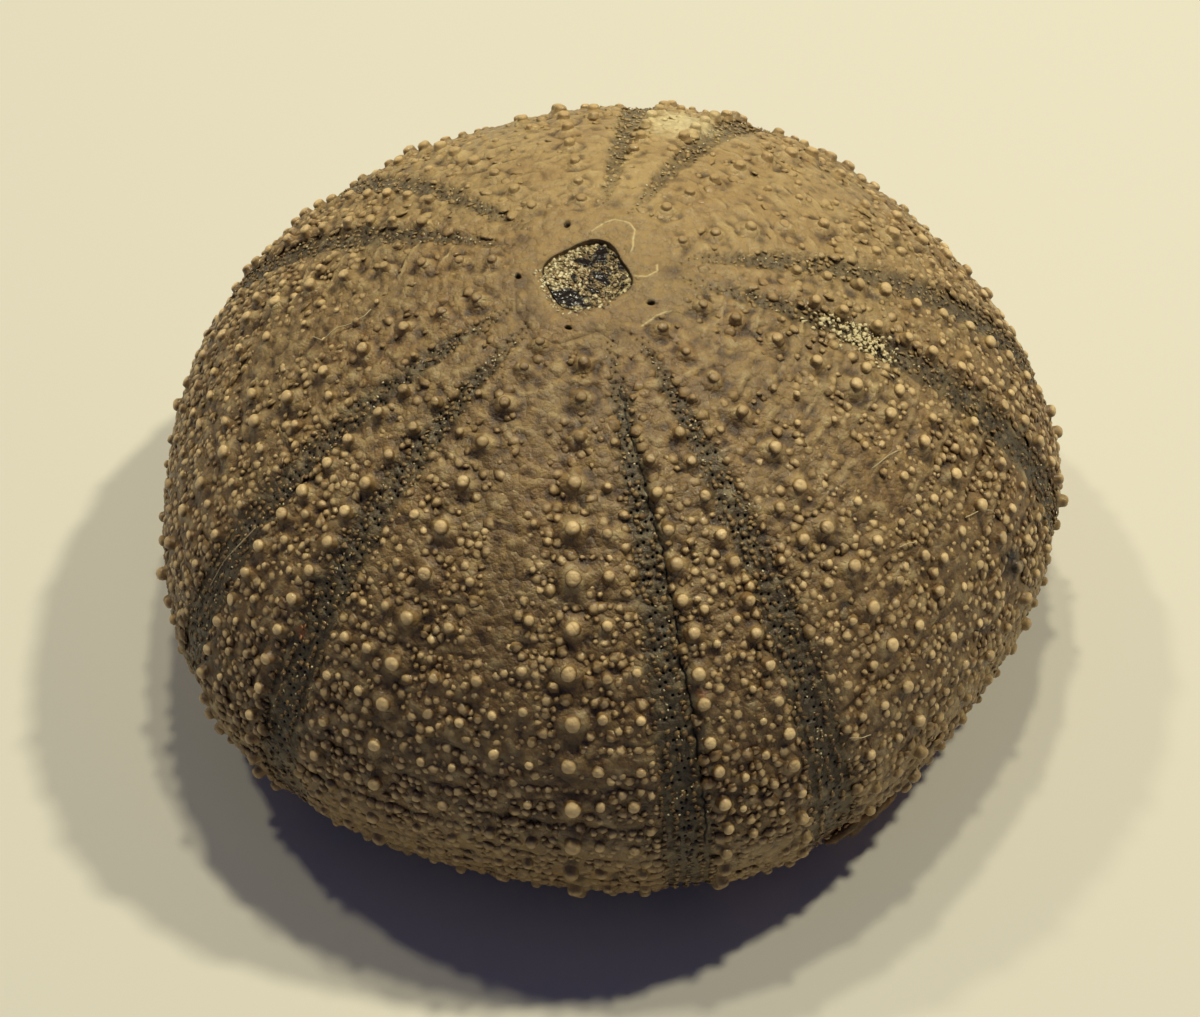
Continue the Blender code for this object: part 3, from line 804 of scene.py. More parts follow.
def edge_rings(meridian):
    """Rings of points that hold the sharp edges of the openings and of the resting ring."""
    floor_edge = meridian.rim_arc - CROWN_RECESS - GAP
    half_up = 0.5 * (floor_edge + meridian.rim_arc)
    rings = [(arc, 90) for arc in (meridian.arc[0] + 0.6 * MM, floor_edge, half_up)]
    rings += [(meridian.rim_arc + step * MM, 120) for step in (-0.12, 0.0, 0.12, 0.3, 0.5)]
    rings += [(arc, 260) for arc in meridian.ring_arcs]
    rings += [(meridian.lip_arc, 130), (meridian.lip_arc + MOUTH_RECESS + GAP, 64)]
    return np.concatenate([meridian.to_chart(arc, np.arange(count) * 360.0 / count) for arc, count in rings])


def spaced(meridian, layers):
    """Which points to keep of all (places, spacing) layers: one too near an earlier point is dropped."""
    grid = NearGrid(SKIN_CELL)
    kept = []
    for places, spacing in layers:
        for point in surface_points(meridian, np.asarray(places)).tolist():
            kept.append(grid.is_free(point, spacing))
            if kept[-1]:
                grid.add(point, 0.0)
    return np.array(kept)


def skin_layout(meridian, sites, pores):
    """Chart places of every skin point, with the lift and the painted shade that pits give their own points.
    """
    rng = np.random.default_rng(SEED)
    main, ray, lesser = sites
    pits = pore_places(meridian, pores), gonopore_places(meridian)
    crack = path_places(meridian, CRACK, 0.20 * MM)
    rings = tubercle_rings(meridian, main, ((0.46, 10), (0.72, 12), (0.98, 14), (1.28, 16)), 76.0 * MM)
    rings += tubercle_rings(meridian, ray, ((0.46, 8), (0.74, 10), (1.0, 12), (1.32, 14)), 76.0 * MM)
    rings += tubercle_rings(meridian, lesser, ((0.5, 6), (0.98, 9)), 70.0 * MM)
    lines = [drawn_line(meridian, corners, 0.16 * MM) for corners in (*SIEVE_PLATE_EDGES, DISC_EDGE)]
    layers = (
        (edge_rings(meridian), 0.0),
        (pits[0][0], 0.0),
        (pits[1][0], 0.0),
        (with_sides(meridian, crack, crack), 0.10 * MM),
        (np.concatenate([with_sides(meridian, line, np.gradient(line)) for line in lines]), 0.10 * MM),
        (rings, 0.20 * MM),
        (seam_lines(meridian), 0.20 * MM),
        (polar_fill(meridian, rng, meridian.rim_arc + 0.6 * MM, 14.0 * MM, 0.30 * MM), 0.22 * MM),
        (polar_fill(meridian, rng, 14.0 * MM, 68.0 * MM, 0.50 * MM), 0.36 * MM),
        (polar_fill(meridian, rng, 68.0 * MM, meridian.lip_arc, 0.95 * MM), 0.50 * MM),
    )
    kept = spaced(meridian, layers)
    places = np.concatenate([np.asarray(layer[0]) for layer in layers])
    lifts, painted_shade = np.zeros((2, len(places)))
    start = len(layers[0][0])
    for pit_points, pit_lifts, pit_painted_shade in pits:
        lifts[start:start + len(pit_points)] = pit_lifts
        painted_shade[start:start + len(pit_points)] = pit_painted_shade
        start += len(pit_points)
    return places[kept], lifts[kept], painted_shade[kept], crack


def disc_relief(arc, angle, waver):
    """The plates of the crown: a faint step down at the disc's lobed edge and a low swell on each plate."""
    between = np.cos(RAYS * (angle - math.radians(FIRST_RAY + 0.5 * RAY_STEP)))
    edge = DISC_ARC + (0.75 * between + 0.35 * waver) * MM
    groove = (0.07 + 0.05 * waver) * MM * bell(arc - edge, 0.20 * MM)
    swell = 0.14 * MM * (1.0 - smooth_ramp(0.0, 1.0, (arc - edge) / (1.6 * MM)))
    return swell * smooth_ramp(4.2 * MM, 5.2 * MM, arc) - groove, np.clip(groove / (0.16 * MM), 0.0, 1.0)


def weathering(points, arc, patina_and_light, zone, lumps):
    """Fine roughness of the worn stone, deepest beyond the crown's disc and where the patina and painted
    light share is high.
    """
    beyond_disc = smooth_ramp(7.0 * MM, 11.0 * MM, arc)
    beyond_disc = beyond_disc * (0.55 + 0.45 * smooth_ramp(0.15, 0.60, patina_and_light))
    lower = smooth_ramp(14.0 * MM, 44.0 * MM, arc)
    fine = (0.04 + 0.14 * beyond_disc + 0.02 * lower - 0.05 * zone) * MM * lumps
    fine += (0.03 + 0.07 * beyond_disc) * MM * noise_values(points, 0.75 * MM, 1, 90.0)
    return fine + 0.15 * MM * beyond_disc * noise_values(points, 2.6 * MM, 1, 33.0)


def relief_strength(meridian, arc):
    """1 over the test, 0 at the crown opening's rim and little on the worn underside."""
    fade = smooth_ramp(meridian.rim_arc, meridian.rim_arc + 0.8 * MM, arc)
    underside = smooth_ramp(meridian.ring_arcs[0] - 3.0 * MM, meridian.ring_arcs[0], arc)
    return fade * (1.0 - 0.85 * underside)


def skin_relief(meridian, places, sites, crack):
    """Lift of each skin point, its texture, and its marks: seam lips, dirt with painted shade, pore zones and
    the crack.
    """
    arc, angle = meridian.from_chart(places)
    from_ray = degrees_from_ray(angle)
    points = surface_points(meridian, places)
    patina_and_light = patina_and_painted_light_share(arc, angle)
    zone = zone_share(arc, from_ray, noise_values(points, 1.6 * MM, 2, 61.0))
    lumps = noise_values(points, 1.3 * MM, 2, 11.0)
    fine = weathering(points, arc, patina_and_light, zone, lumps)
    seam, lip, groove = seam_relief(meridian, arc, from_ray, points)
    fine += seam * (1.0 - zone)
    from_midline = (np.abs(from_ray) - 0.5 * RAY_STEP) * np.radians(1.0) * meridian.radius_at(arc)
    midline = bell(from_midline, 0.24 * MM) * smooth_ramp(12.0 * MM, 20.0 * MM, arc)
    fine -= MIDLINE_DEPTH * midline * (0.5 + 0.5 * lumps)
    disc, disc_groove = disc_relief(arc, angle, noise_values(points, 2.6 * MM, 2, 17.0))
    pale, edge, spots = crown_marks(meridian, points)
    fine += disc + SIEVE_EDGE_HEIGHT * pale - DISC_EDGE_DEPTH * edge - DIRTY_SPOT_DEPTH * spots
    in_crack = bell(path_distance(points, surface_points(meridian, crack)), CRACK_HALF_WIDTH)
    fine -= CRACK_DEPTH * in_crack
    bosses = np.zeros(len(points))
    for kind, height, areole in zip(sites, (MAIN_BOSS, RAY_BOSS, LESSER_BOSS), AREOLES):
        bosses += boss_relief(points, kind, height, areole)
    broad = BROAD_SWELL * noise_values(points, 8.0 * MM, 2, 5.0) - ZONE_DEPTH * zone
    lift = (fine + bosses + broad) * relief_strength(meridian, arc)
    # The crown opening's wall is darkened too, as painted shade inside the recess.
    wall = 1.0 - smooth_ramp(meridian.rim_arc - 0.1 * MM, meridian.rim_arc + 0.35 * MM, arc)
    dirt_and_shade = (0.3 + 0.7 * patina_and_light) * np.maximum(groove, 0.6 * disc_groove)
    dirt_and_shade = np.maximum.reduce([dirt_and_shade, 0.8 * edge, 0.75 * spots, 0.5 * wall])
    return lift, fine + 0.5 * bosses, np.maximum(0.3 * lip, 0.9 * pale), dirt_and_shade, zone, in_crack


def patina_and_painted_light_share(arc, angle):
    """0 where the stone is pale and 1 where it is brown, low and opposite: partly the stone's browning and
    partly painted light, paler on the crown's side towards the lamps behind as a painted sheen, browner on
    the low front as painted shade, and lighter under the widest part as painted light thrown up from the
    floor.
    """
    toward = np.cos(angle - math.radians(PALE_LIT_SIDE)) * smooth_ramp(0.0, 15.0 * MM, arc)
    share = 0.57 - np.where(toward > 0.0, 0.54, 0.20) * toward
    share = share + (1.0 - share) * 0.92 * smooth_ramp(24.0 * MM, 56.0 * MM, arc)
    # Lighter again under the widest part: painted light thrown up from the floor.
    return share - 0.56 * smooth_ramp(55.0 * MM, 63.0 * MM, arc)


def neighbour_average(faces, values, rounds):
    """Values averaged with their neighbours' along the mesh's edges, several times over."""
    edges = np.concatenate([faces[:, [0, 1]], faces[:, [1, 2]], faces[:, [2, 0]]])
    count = np.bincount(edges.ravel(), minlength=len(values)).astype(float)
    smoothed = values.copy()
    for _ in range(rounds):
        total = np.bincount(edges[:, 0], weights=smoothed[edges[:, 1]], minlength=len(values))
        total += np.bincount(edges[:, 1], weights=smoothed[edges[:, 0]], minlength=len(values))
        smoothed = 0.5 * smoothed + 0.5 * total / np.maximum(count, 1.0)
    return smoothed


def stain_shares(meridian, places):
    """Where the test is stained: rust-red tint, white chalk and black crust, each from 0 to 1."""
    arc, angle = meridian.from_chart(places)
    turn = (np.degrees(angle) - FIRST_RAY + 180.0) % 360.0 - 180.0
    return [
        np.maximum.reduce([
            strength * bell(turn - middle, wide) * bell(arc - down * MM, long * MM)
            for middle, down, wide, long, strength in stains
        ])
        for stains in (RUST_STAINS, CHALK_STAINS, BLACK_STAINS)
    ]


# ---------------------------------------------------------------- meshes


def add_piece(name, points, faces, material):
    """A smooth mesh piece from its points and its triangles."""
    mesh = bpy.data.meshes.new(name)
    points = np.asarray(points, np.float32)
    faces = np.asarray(faces, np.int32)
    mesh.vertices.add(len(points))
    mesh.vertices.foreach_set("co", points.ravel())
    mesh.loops.add(faces.size)
    mesh.loops.foreach_set("vertex_index", faces.ravel())
    mesh.polygons.add(len(faces))
    mesh.polygons.foreach_set("loop_start", np.arange(0, faces.size, faces.shape[1], dtype=np.int32))
    mesh.update(calc_edges=True)
    mesh.validate()
    mesh.shade_smooth()
    mesh.materials.append(material)
    piece = bpy.data.objects.new(name, mesh)
    bpy.context.scene.collection.objects.link(piece)
    return piece


def store_marks(piece, name, *shares):
    """Three values for every point, kept as one colour attribute that the material reads."""
    marks = piece.data.attributes.new(name, "FLOAT_COLOR", "POINT")
    values = np.ones((len(piece.data.vertices), 4), np.float32)
    for column, share in enumerate(shares):
        values[:, column] = share
    marks.data.foreach_set("color", values.ravel())


def make_skin(meridian, sites, pores, material):
    """The whole test but for its tubercles' knobs, in one closed surface."""
    places, pit_lift, pit_painted_shade, crack = skin_layout(meridian, sites, pores)
    lift, texture, lip, dirt_and_shade, zone, in_crack = skin_relief(meridian, places, sites, crack)
    flat = [Vector((place.real, place.imag)) for place in places]
    faces = np.array(delaunay_2d_cdt(flat, [], [], 0, 1e-9, False)[2])
    distance = np.abs(places)
    outer = np.flatnonzero(distance > 0.9999 * distance.max())
    by_turn = outer[np.argsort(np.angle(places[outer]))][::-1]
    cap = np.column_stack([np.full(len(by_turn) - 2, by_turn[0]), by_turn[1:-1], by_turn[2:]])
    points = surface_points(meridian, places, lift + pit_lift)
    skin = add_piece("test_skin", points, np.vstack([faces, cap]), material)
    # How far each point stands above or sinks below its neighbours, which the material paints paler or darker
    # as painted highlight and painted shade.
    proud = (texture - neighbour_average(faces, texture, 12)) / (0.15 * MM)
    proud = 0.5 + 0.5 * np.clip(proud, -1.0, 1.0)
    store_marks(skin, "relief", proud, np.clip(lip, 0.0, 1.0), np.clip(dirt_and_shade, 0.0, 1.0))
    patina_and_light = patina_and_painted_light_share(*meridian.from_chart(places))
    # First mark: the pore zones, tinted a little more where the patina and painted light share is high.
    # Second: pores, egg pores and the crack, painted near black as painted shade in the holes. Third: the
    # patina and painted light share.
    store_marks(skin, "places", (0.60 + 0.40 * patina_and_light) * zone, np.maximum(pit_painted_shade, 0.9 * in_crack), patina_and_light)
    store_marks(skin, "stains", *stain_shares(meridian, places))
    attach(skin, "root")
    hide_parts("test")


def stacked_rings(rings, first_tip, last_tip):
    """Points and faces of a closed solid from rings of equal count, the lowest first, closed at two tips."""
    sides = len(rings[0])
    points = np.vstack([[first_tip], *rings, [last_tip]])
    side = np.arange(sides)
    after = (side + 1) % sides
    faces = [np.column_stack([np.zeros(sides, int), 1 + after, 1 + side])]
    for ring in range(len(rings) - 1):
        low = 1 + ring * sides
        high = low + sides
        faces.append(np.column_stack([low + side, low + after, high + after]))
        faces.append(np.column_stack([low + side, high + after, high + side]))
    last = 1 + (len(rings) - 1) * sides
    faces.append(np.column_stack([np.full(sides, len(points) - 1), last + side, last + after]))
    return points, np.vstack(faces)


def even_turns(sides):
    """Angles of the corners of a ring."""
    return np.arange(sides) * math.tau / sides


# Outlines from the foot up, as (distance from the middle, height) in shares of the ball's own radius.
KNOB = (
    (0.0, -0.95), (1.44, -1.0), (1.20, -0.52), (1.06, -0.04), (1.0, 0.30),
    (0.96, 0.54), (0.83, 0.77), (0.58, 0.93), (0.28, 1.0), (0.0, 1.02),
)
LESSER_KNOB = (
    (0.0, -0.9), (1.46, -0.94), (1.18, -0.42), (1.03, 0.08),
    (0.95, 0.46), (0.72, 0.71), (0.37, 0.85), (0.0, 0.89),
)
GRANULE = ((0.0, -0.7), (1.75, -0.48), (1.15, 0.08), (0.70, 0.42), (0.0, 0.56))
FINE_GRANULE = ((0.0, -0.6), (1.60, -0.46), (0.88, 0.22), (0.0, 0.50))
ZONE_GRAIN = ((0.0, -0.6), (1.60, -0.50), (0.92, 0.12), (0.0, 0.30))


def turned_template(outline, sides):
    """A small closed solid turned about +Z from its outline."""
    turns = even_turns(sides)
    circle = np.column_stack([np.cos(turns), np.sin(turns), np.zeros(sides)])
    rings = [radius * circle + (0.0, 0.0, height) for radius, height in outline[1:-1]]
    return stacked_rings(rings, (0.0, 0.0, outline[0][1]), (0.0, 0.0, outline[-1][1]))


def height_shares(template):
    """0 up to the foot of a small solid and 1 at its top, for each of its points."""
    return np.clip(template[:, 2] / template[:, 2].max(), 0.0, 1.0)


def standing_axes(normals):
    """Two directions along the surface for each normal."""
    helper = np.where(np.abs(normals[:, 2:]) < 0.9, [[0.0, 0.0, 1.0]], [[1.0, 0.0, 0.0]])
    across = unit_vectors(np.cross(helper, normals))
    return across, np.cross(normals, across)


def leaning(normals, spread, rng):
    """The normals, each tilted a little its own way."""
    return unit_vectors(normals + rng.normal(0.0, spread, normals.shape))


def lumpy_copies(template, feet, normals, radius, stature, lumpiness, rng):
    """Copies of one small solid, each on its foot, square to the surface and a little its own shape."""
    count = len(feet)
    across, along = standing_axes(normals)
    turn = np.arctan2(template[:, 1], template[:, 0])
    swell = 1.0 + rng.normal(0.0, 0.45 * lumpiness, (count, len(template)))
    for waves in (1, 2, 3):
        phase = rng.uniform(0.0, math.tau, (count, 1))
        depth = rng.uniform(0.0, lumpiness, (count, 1))
        swell += depth * np.cos(waves * turn[None, :] + phase)
    x = template[None, :, 0] * swell * radius[:, None]
    y = template[None, :, 1] * swell * radius[:, None]
    above = template[:, 2] > 0.0
    uneven = 1.0 + rng.normal(0.0, 0.5 * lumpiness, (count, len(template))) * above
    z = template[None, :, 2] * uneven * np.where(above, stature[:, None], 1.0) * radius[:, None]
    copies = feet[:, None, :]
    for distance, axes in ((x, across), (y, along), (z, normals)):
        copies = copies + distance[..., None] * axes[:, None, :]
    return copies


def add_lumps(name, template, faces, copies, material):
    """One piece of all the copies of a small solid."""
    offsets = np.arange(len(copies)) * len(template)
    joined = faces[None, :, :] + offsets[:, None, None]
    return add_piece(name, copies.reshape(-1, 3), joined.reshape(-1, 3), material)


def make_knobs(meridian, name, sites, outline, sides, ball, base_lift, lumpiness, material, rng):
    """One piece of all the knobs of one kind, sunk a little into the skin; ball is a full-sized radius."""
    template, faces = turned_template(outline, sides)
    count = len(sites.places)
    normals = leaning(surface_normals(meridian, sites.places), 0.05 + lumpiness, rng)
    risen = 0.72 + 0.28 * smooth_ramp(10.0 * MM, 26.0 * MM, sites.arc)
    risen = risen * (1.0 + 0.4 * smooth_ramp(52.0 * MM, 59.0 * MM, sites.arc))
    stature = rng.uniform(0.72, 0.94, count) * risen * (1.0 - 0.72 * sites.worn)
    feet = surface_points(meridian, sites.places, base_lift * sites.size * boss_share(sites))
    copies = lumpy_copies(template, feet, normals, ball * sites.size, stature, lumpiness, rng)
    copies[..., 2] = np.maximum(copies[..., 2], 0.0)
    piece = add_lumps(name, template, faces, copies, material)
    rubbed = 0.40 + 0.60 * smooth_ramp(12.0 * MM, 32.0 * MM, sites.arc)
    rubbed = rubbed * (1.0 - 0.25 * smooth_ramp(56.0 * MM, 63.0 * MM, sites.arc))
    high = (rubbed[:, None] * height_shares(template)[None, :]).ravel()
    tone = rng.random(count)
    # The patina and painted light share, which sets each knob's body and tip tones.
    patina_and_light = patina_and_painted_light_share(sites.arc, np.radians(sites.azimuth))
    store_marks(piece, "knob", high, *(np.repeat(share, len(template)) for share in (tone, patina_and_light)))
    stains = stain_shares(meridian, sites.places)
    store_marks(piece, "stains", *(np.repeat(share, len(template)) for share in stains))
    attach(piece, "root")


def zone_grain_sites(meridian, rng, pores, crack):
    """Small grains between the pores."""
    rows = []
    for middle, side in pore_zones():
        arc = 12.0 * MM
        while arc < meridian.ring_arcs[0] - 1.5 * MM:
            for share in (0.04, 0.27, 0.50, 0.73, 0.96):
                from_middle = ZONE_INNER_ANGLE + share * (ZONE_OUTER_ANGLE - ZONE_INNER_ANGLE)
                from_middle += math.degrees(rng.uniform(-0.2, 0.2) * MM / meridian.radius_at(arc))
                size = rng.uniform(0.5, 1.0)
                azimuth = middle + side * from_middle
                if rng.random() < 0.5 + 0.5 * patina_and_painted_light_share(arc, math.radians(azimuth)):
                    place = arc + rng.uniform(-0.25, 0.25) * MM
                    rows.append((place, azimuth, size * ZONE_GRAIN_RADIUS, size, 0.0))
            arc += 0.62 * MM
    holes = Sites(meridian, [(arc, azimuth, 0.22 * MM, 1.0, 0.0) for arc, azimuth in pores])
    return thin_out(meridian, Sites(meridian, rows), (holes, crack), -0.03 * MM)


def crack_sites(meridian):
    """Places along the crack, which the grains beside it keep clear of."""
    arc, angle = meridian.from_chart(path_places(meridian, CRACK, 0.30 * MM))
    return Sites(meridian, [(*site, 0.14 * MM, 1.0, 0.0) for site in zip(arc, np.degrees(angle))])


def level_ring(turns, reach, centre, height):
    """Points of one level ring round a centre; reach is its radius at each turn."""
    x = centre[0] + reach * np.cos(turns)
    y = centre[1] + reach * np.sin(turns)
    return np.column_stack([x, y, np.full(len(turns), height)])


# ---------------------------------------------------------------- sediment and matrix


def make_crown_sediment(meridian, material, grain_material):
    """Hardened sand in the crown opening, highest at the near left, under loose grains."""
    rng = np.random.default_rng(SEED + 1)
    turns = even_turns(150)
    floor = meridian.height[0] + GAP
    rim = floor - GAP + CROWN_RECESS
    level = rim - 0.36 * MM
    reach = (CROWN_OPENING_RADIUS - 0.14 * MM) * (1.0 + opening_swell(turns))
    centre = np.add(OPENING_CENTRE, FOOTPRINT_SHIFT)
    walls = [(0.90, floor), (0.93, rim - 1.6 * MM), (0.97, rim - 1.1 * MM)]
    top_rings = [(share, level) for share in np.linspace(1.0, 0.03, 46)]
    rings = [level_ring(turns, share * reach, centre, height) for share, height in walls + top_rings]
    points, faces = stacked_rings(rings, (*centre, floor), (*centre, level))
    top = np.arange(len(points)) > len(walls) * len(turns)
    offsets = points[:, :2] - centre
    from_edge = 1.0 - np.linalg.norm(offsets, axis=1) / CROWN_OPENING_RADIUS
    crusts = crust_share(points)
    height = 0.17 * MM * noise_values(points, 1.6 * MM, 2, 3.0)
    height += 0.13 * MM * noise_values(points, 0.42 * MM, 2, 9.0)
    height += 0.12 * MM * smooth_ramp(0.0, 0.22, from_edge) + 0.055 * (-0.8 * offsets[:, 0] - offsets[:, 1])
    height += 0.20 * MM * crusts
    points[top, 2] += np.minimum(height[top], 0.34 * MM)
    piece = add_piece("crown_sand", points, faces, material)
    store_marks(piece, "sand", crusts, from_edge, 0.0)
    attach(piece, "root")
    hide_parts("crown_sediment")
    make_crown_grains(meridian, points[top], crusts[top], grain_material, rng)


# Black crusts on the crown's sand: east, north, half length and half width in mm, and turn in degrees.
CRUSTS = (
    (-2.95, -3.10, 2.00, 1.15, -27.0),
    (-1.35, 1.40, 1.05, 0.55, -24.0),
    (0.21, 2.20, 1.45, 0.70, -104.0),
    (0.30, -0.98, 1.20, 0.60, -55.0),
    (2.14, 0.72, 0.70, 0.36, -78.0),
    (-2.38, -0.44, 0.45, 0.32, -51.0),
    (-0.49, -2.51, 0.80, 0.28, -30.0),
)


def crust_share(points):
    """1 on the black crusts, 0 on bare sand, with ragged edges."""
    share = np.zeros(len(points))
    ragged = 0.55 * noise_values(points, 0.8 * MM, 3, 21.0)
    for east, north, long_half, short_half, turn in CRUSTS:
        dx = points[:, 0] / MM - east
        dy = points[:, 1] / MM - north
        cosine, sine = math.cos(math.radians(turn)), math.sin(math.radians(turn))
        reach = np.hypot((dx * cosine + dy * sine) / long_half, (dy * cosine - dx * sine) / short_half)
        share = np.maximum(share, 1.0 - smooth_ramp(0.90, 1.05, reach + ragged))
    return share


def scatter_grains(name, outline, sides, feet, normals, radius, tallest, lumpiness, tones, material, rng):
    """One piece of loose grains, marked with tone and height; tones are the darkest and the range."""
    template, faces = turned_template(outline, sides)
    stature = rng.uniform(0.6, tallest, len(feet))
    copies = lumpy_copies(template, feet, normals, radius, stature, lumpiness, rng)
    piece = add_lumps(name, template, faces, copies, material)
    tones = np.clip(tones[0] + tones[1] * rng.random(len(feet)), 0.0, 1.0)
    high = np.tile(height_shares(template), len(feet))
    store_marks(piece, "grain", np.repeat(tones, len(template)), high, 0.0)
    return piece


def make_crown_grains(meridian, ground, crusts, material, rng):
    """Grains that stand out of the crown's sand, and crumbs that spill over its near left edge."""
    standing, spilling = 1500, 90
    bare = ground[crusts < 0.3]
    picked = bare[rng.choice(len(bare), standing)] + rng.normal(0.0, 0.06, (standing, 3)) * MM
    spilled = meridian.to_chart(rng.uniform(4.25, 4.9, spilling) * MM, rng.uniform(-195.0, -50.0, spilling))
    picked = np.vstack([picked, surface_points(meridian, spilled)])
    radius = (0.05 + 0.13 * rng.random(len(picked)) ** 2.5) * MM
    normals = leaning(np.tile((0.0, 0.0, 1.0), (len(picked), 1)), 0.35, rng)
    feet = picked + (0.0, 0.0, 0.02 * MM)
    paler = 0.10 * (-picked[:, 0] / MM - 1.2)
    piece = scatter_grains(
        "crown_sand_grains", GRANULE, 6, feet, normals, radius, 1.3, 0.3, (paler, 1.0), material, rng
    )
    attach(piece, "root")


def make_specks(meridian, name, places, radius, material, rng):
    """Tiny grains caught on the test at the given chart places."""
    normals = leaning(surface_normals(meridian, places), 0.4, rng)
    feet = surface_points(meridian, places, -0.02 * MM)
    piece = scatter_grains(
        name, FINE_GRANULE, 5, feet, normals, radius, 1.4, 0.35, (0.45, 0.55), material, rng
    )
    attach(piece, "root")


def make_caught_grains(meridian, grain_material, chalk_material, rng):
    """Bright sand caught in the pore zones, and the chalk crumbs of one zone."""
    grains, crumbs = 700, 170
    arc = rng.uniform(10.0, 56.0, grains) * MM
    side = rng.choice((-1.0, 1.0), grains)
    side = side * rng.normal(0.5 * (ZONE_INNER_ANGLE + ZONE_OUTER_ANGLE), 1.7, grains)
    places = meridian.to_chart(arc, FIRST_RAY + RAY_STEP * rng.integers(0, RAYS, grains) + side)
    make_specks(meridian, "caught_sand", places, rng.uniform(0.05, 0.10, grains) * MM, grain_material, rng)
    places = meridian.to_chart(rng.normal(26.4, 2.3, crumbs) * MM, rng.normal(-11.6, 2.0, crumbs))
    make_specks(meridian, "chalk_crumbs", places, rng.uniform(0.06, 0.20, crumbs) * MM, chalk_material, rng)


# Dust fibres lying on the test, as (azimuth in degrees, arc in mm) along each.
FIBRES = (
    ((-35.8, 33.4), (-32.0, 33.8), (-29.0, 34.6)),
    ((-28.2, 44.7), (-25.8, 45.5), (-24.2, 46.6), (-23.2, 47.8)),
    ((-41.2, 40.7), (-39.8, 41.0), (-38.0, 41.8)),
    ((-155.2, 49.2), (-154.8, 47.0), (-154.0, 44.0), (-153.8, 40.7)),
    ((-60.6, 53.1), (-59.0, 53.5), (-57.4, 54.3)),
    ((179.2, 28.6), (182.8, 27.1), (181.2, 25.4), (181.5, 24.1), (180.5, 22.5), (178.2, 21.7)),
)
FIBRE_RADIUS = 0.055 * MM


def make_fibres(meridian, material):
    """Short fibres of dust: thin tubes that arch a little over the test."""
    turns = even_turns(6)
    all_points = []
    all_faces = []
    count = 0
    for number, corners in enumerate(FIBRES):
        line = drawn_line(meridian, corners, 0.25 * MM)
        share = np.linspace(0.0, 1.0, len(line))
        rise = 0.10 + 0.45 * np.sin(math.pi * share) + 0.08 * np.sin(9.0 * share + number)
        path = surface_points(meridian, line, rise * MM)
        along = unit_vectors(np.gradient(path, axis=0))
        across = unit_vectors(np.cross(along, surface_normals(meridian, line)))
        up = np.cross(across, along)
        circle = np.column_stack([np.cos(turns), np.sin(turns)])
        rings = [
            place + FIBRE_RADIUS * (circle[:, :1] * aside + circle[:, 1:] * above)
            for place, aside, above in zip(path, across, up)
        ]
        points, faces = stacked_rings(rings, path[0] - 0.05 * MM * along[0], path[-1] + 0.05 * MM * along[-1])
        all_points.append(points)
        all_faces.append(faces + count)
        count += len(points)
    piece = add_piece("dust_fibres", np.vstack(all_points), np.vstack(all_faces), material)
    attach(piece, "root")


def make_mouth_sediment(material):
    """Limy infill in the mouth, worn flat level with the resting ring and pitted with small voids."""
    top = MOUTH_LIP_HEIGHT + MOUTH_RECESS - GAP
    wall = MOUTH_RADIUS - 1.3 * GAP
    turns = even_turns(160)
    worn = [(reach, 0.0) for reach in np.linspace(0.02, 0.83, 48) * wall]
    sloped = ((0.87, 0.35), (0.91, 0.8), (0.95, 1.3), (0.985, 1.9), (1.0, 2.6), (1.0, 4.6))
    rings = []
    for reach, height in worn + [(share * wall, rise * MM) for share, rise in sloped] + [(0.92 * wall, top)]:
        wide = reach * (1.0 + outline_swell(turns) * (reach / AMBITUS_RADIUS) ** 2)
        rings.append(level_ring(turns, wide, FOOTPRINT_SHIFT, height))
    points, faces = stacked_rings(rings, (*FOOTPRINT_SHIFT, 0.0), (*FOOTPRINT_SHIFT, top))
    rough = 0.16 * MM * noise_values(points, 1.4 * MM, 3, 41.0)
    rough += 0.14 * MM * noise_values(points, 5.0 * MM, 2, 13.0)
    voids = VOID_DEPTH * smooth_ramp(0.42, 0.75, noise_values(points, 1.1 * MM, 1, 67.0))
    low = points[:, 2] < 2.7 * MM
    points[low, 2] = np.maximum(points[low, 2] + 0.12 * MM + (rough + voids)[low], 0.0)
    piece = add_piece("mouth_infill", points, faces, material)
    store_marks(piece, "sand", voids / VOID_DEPTH, rough / (0.3 * MM) + 0.5, 0.0)
    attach(piece, "root")
    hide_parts("mouth_sediment")


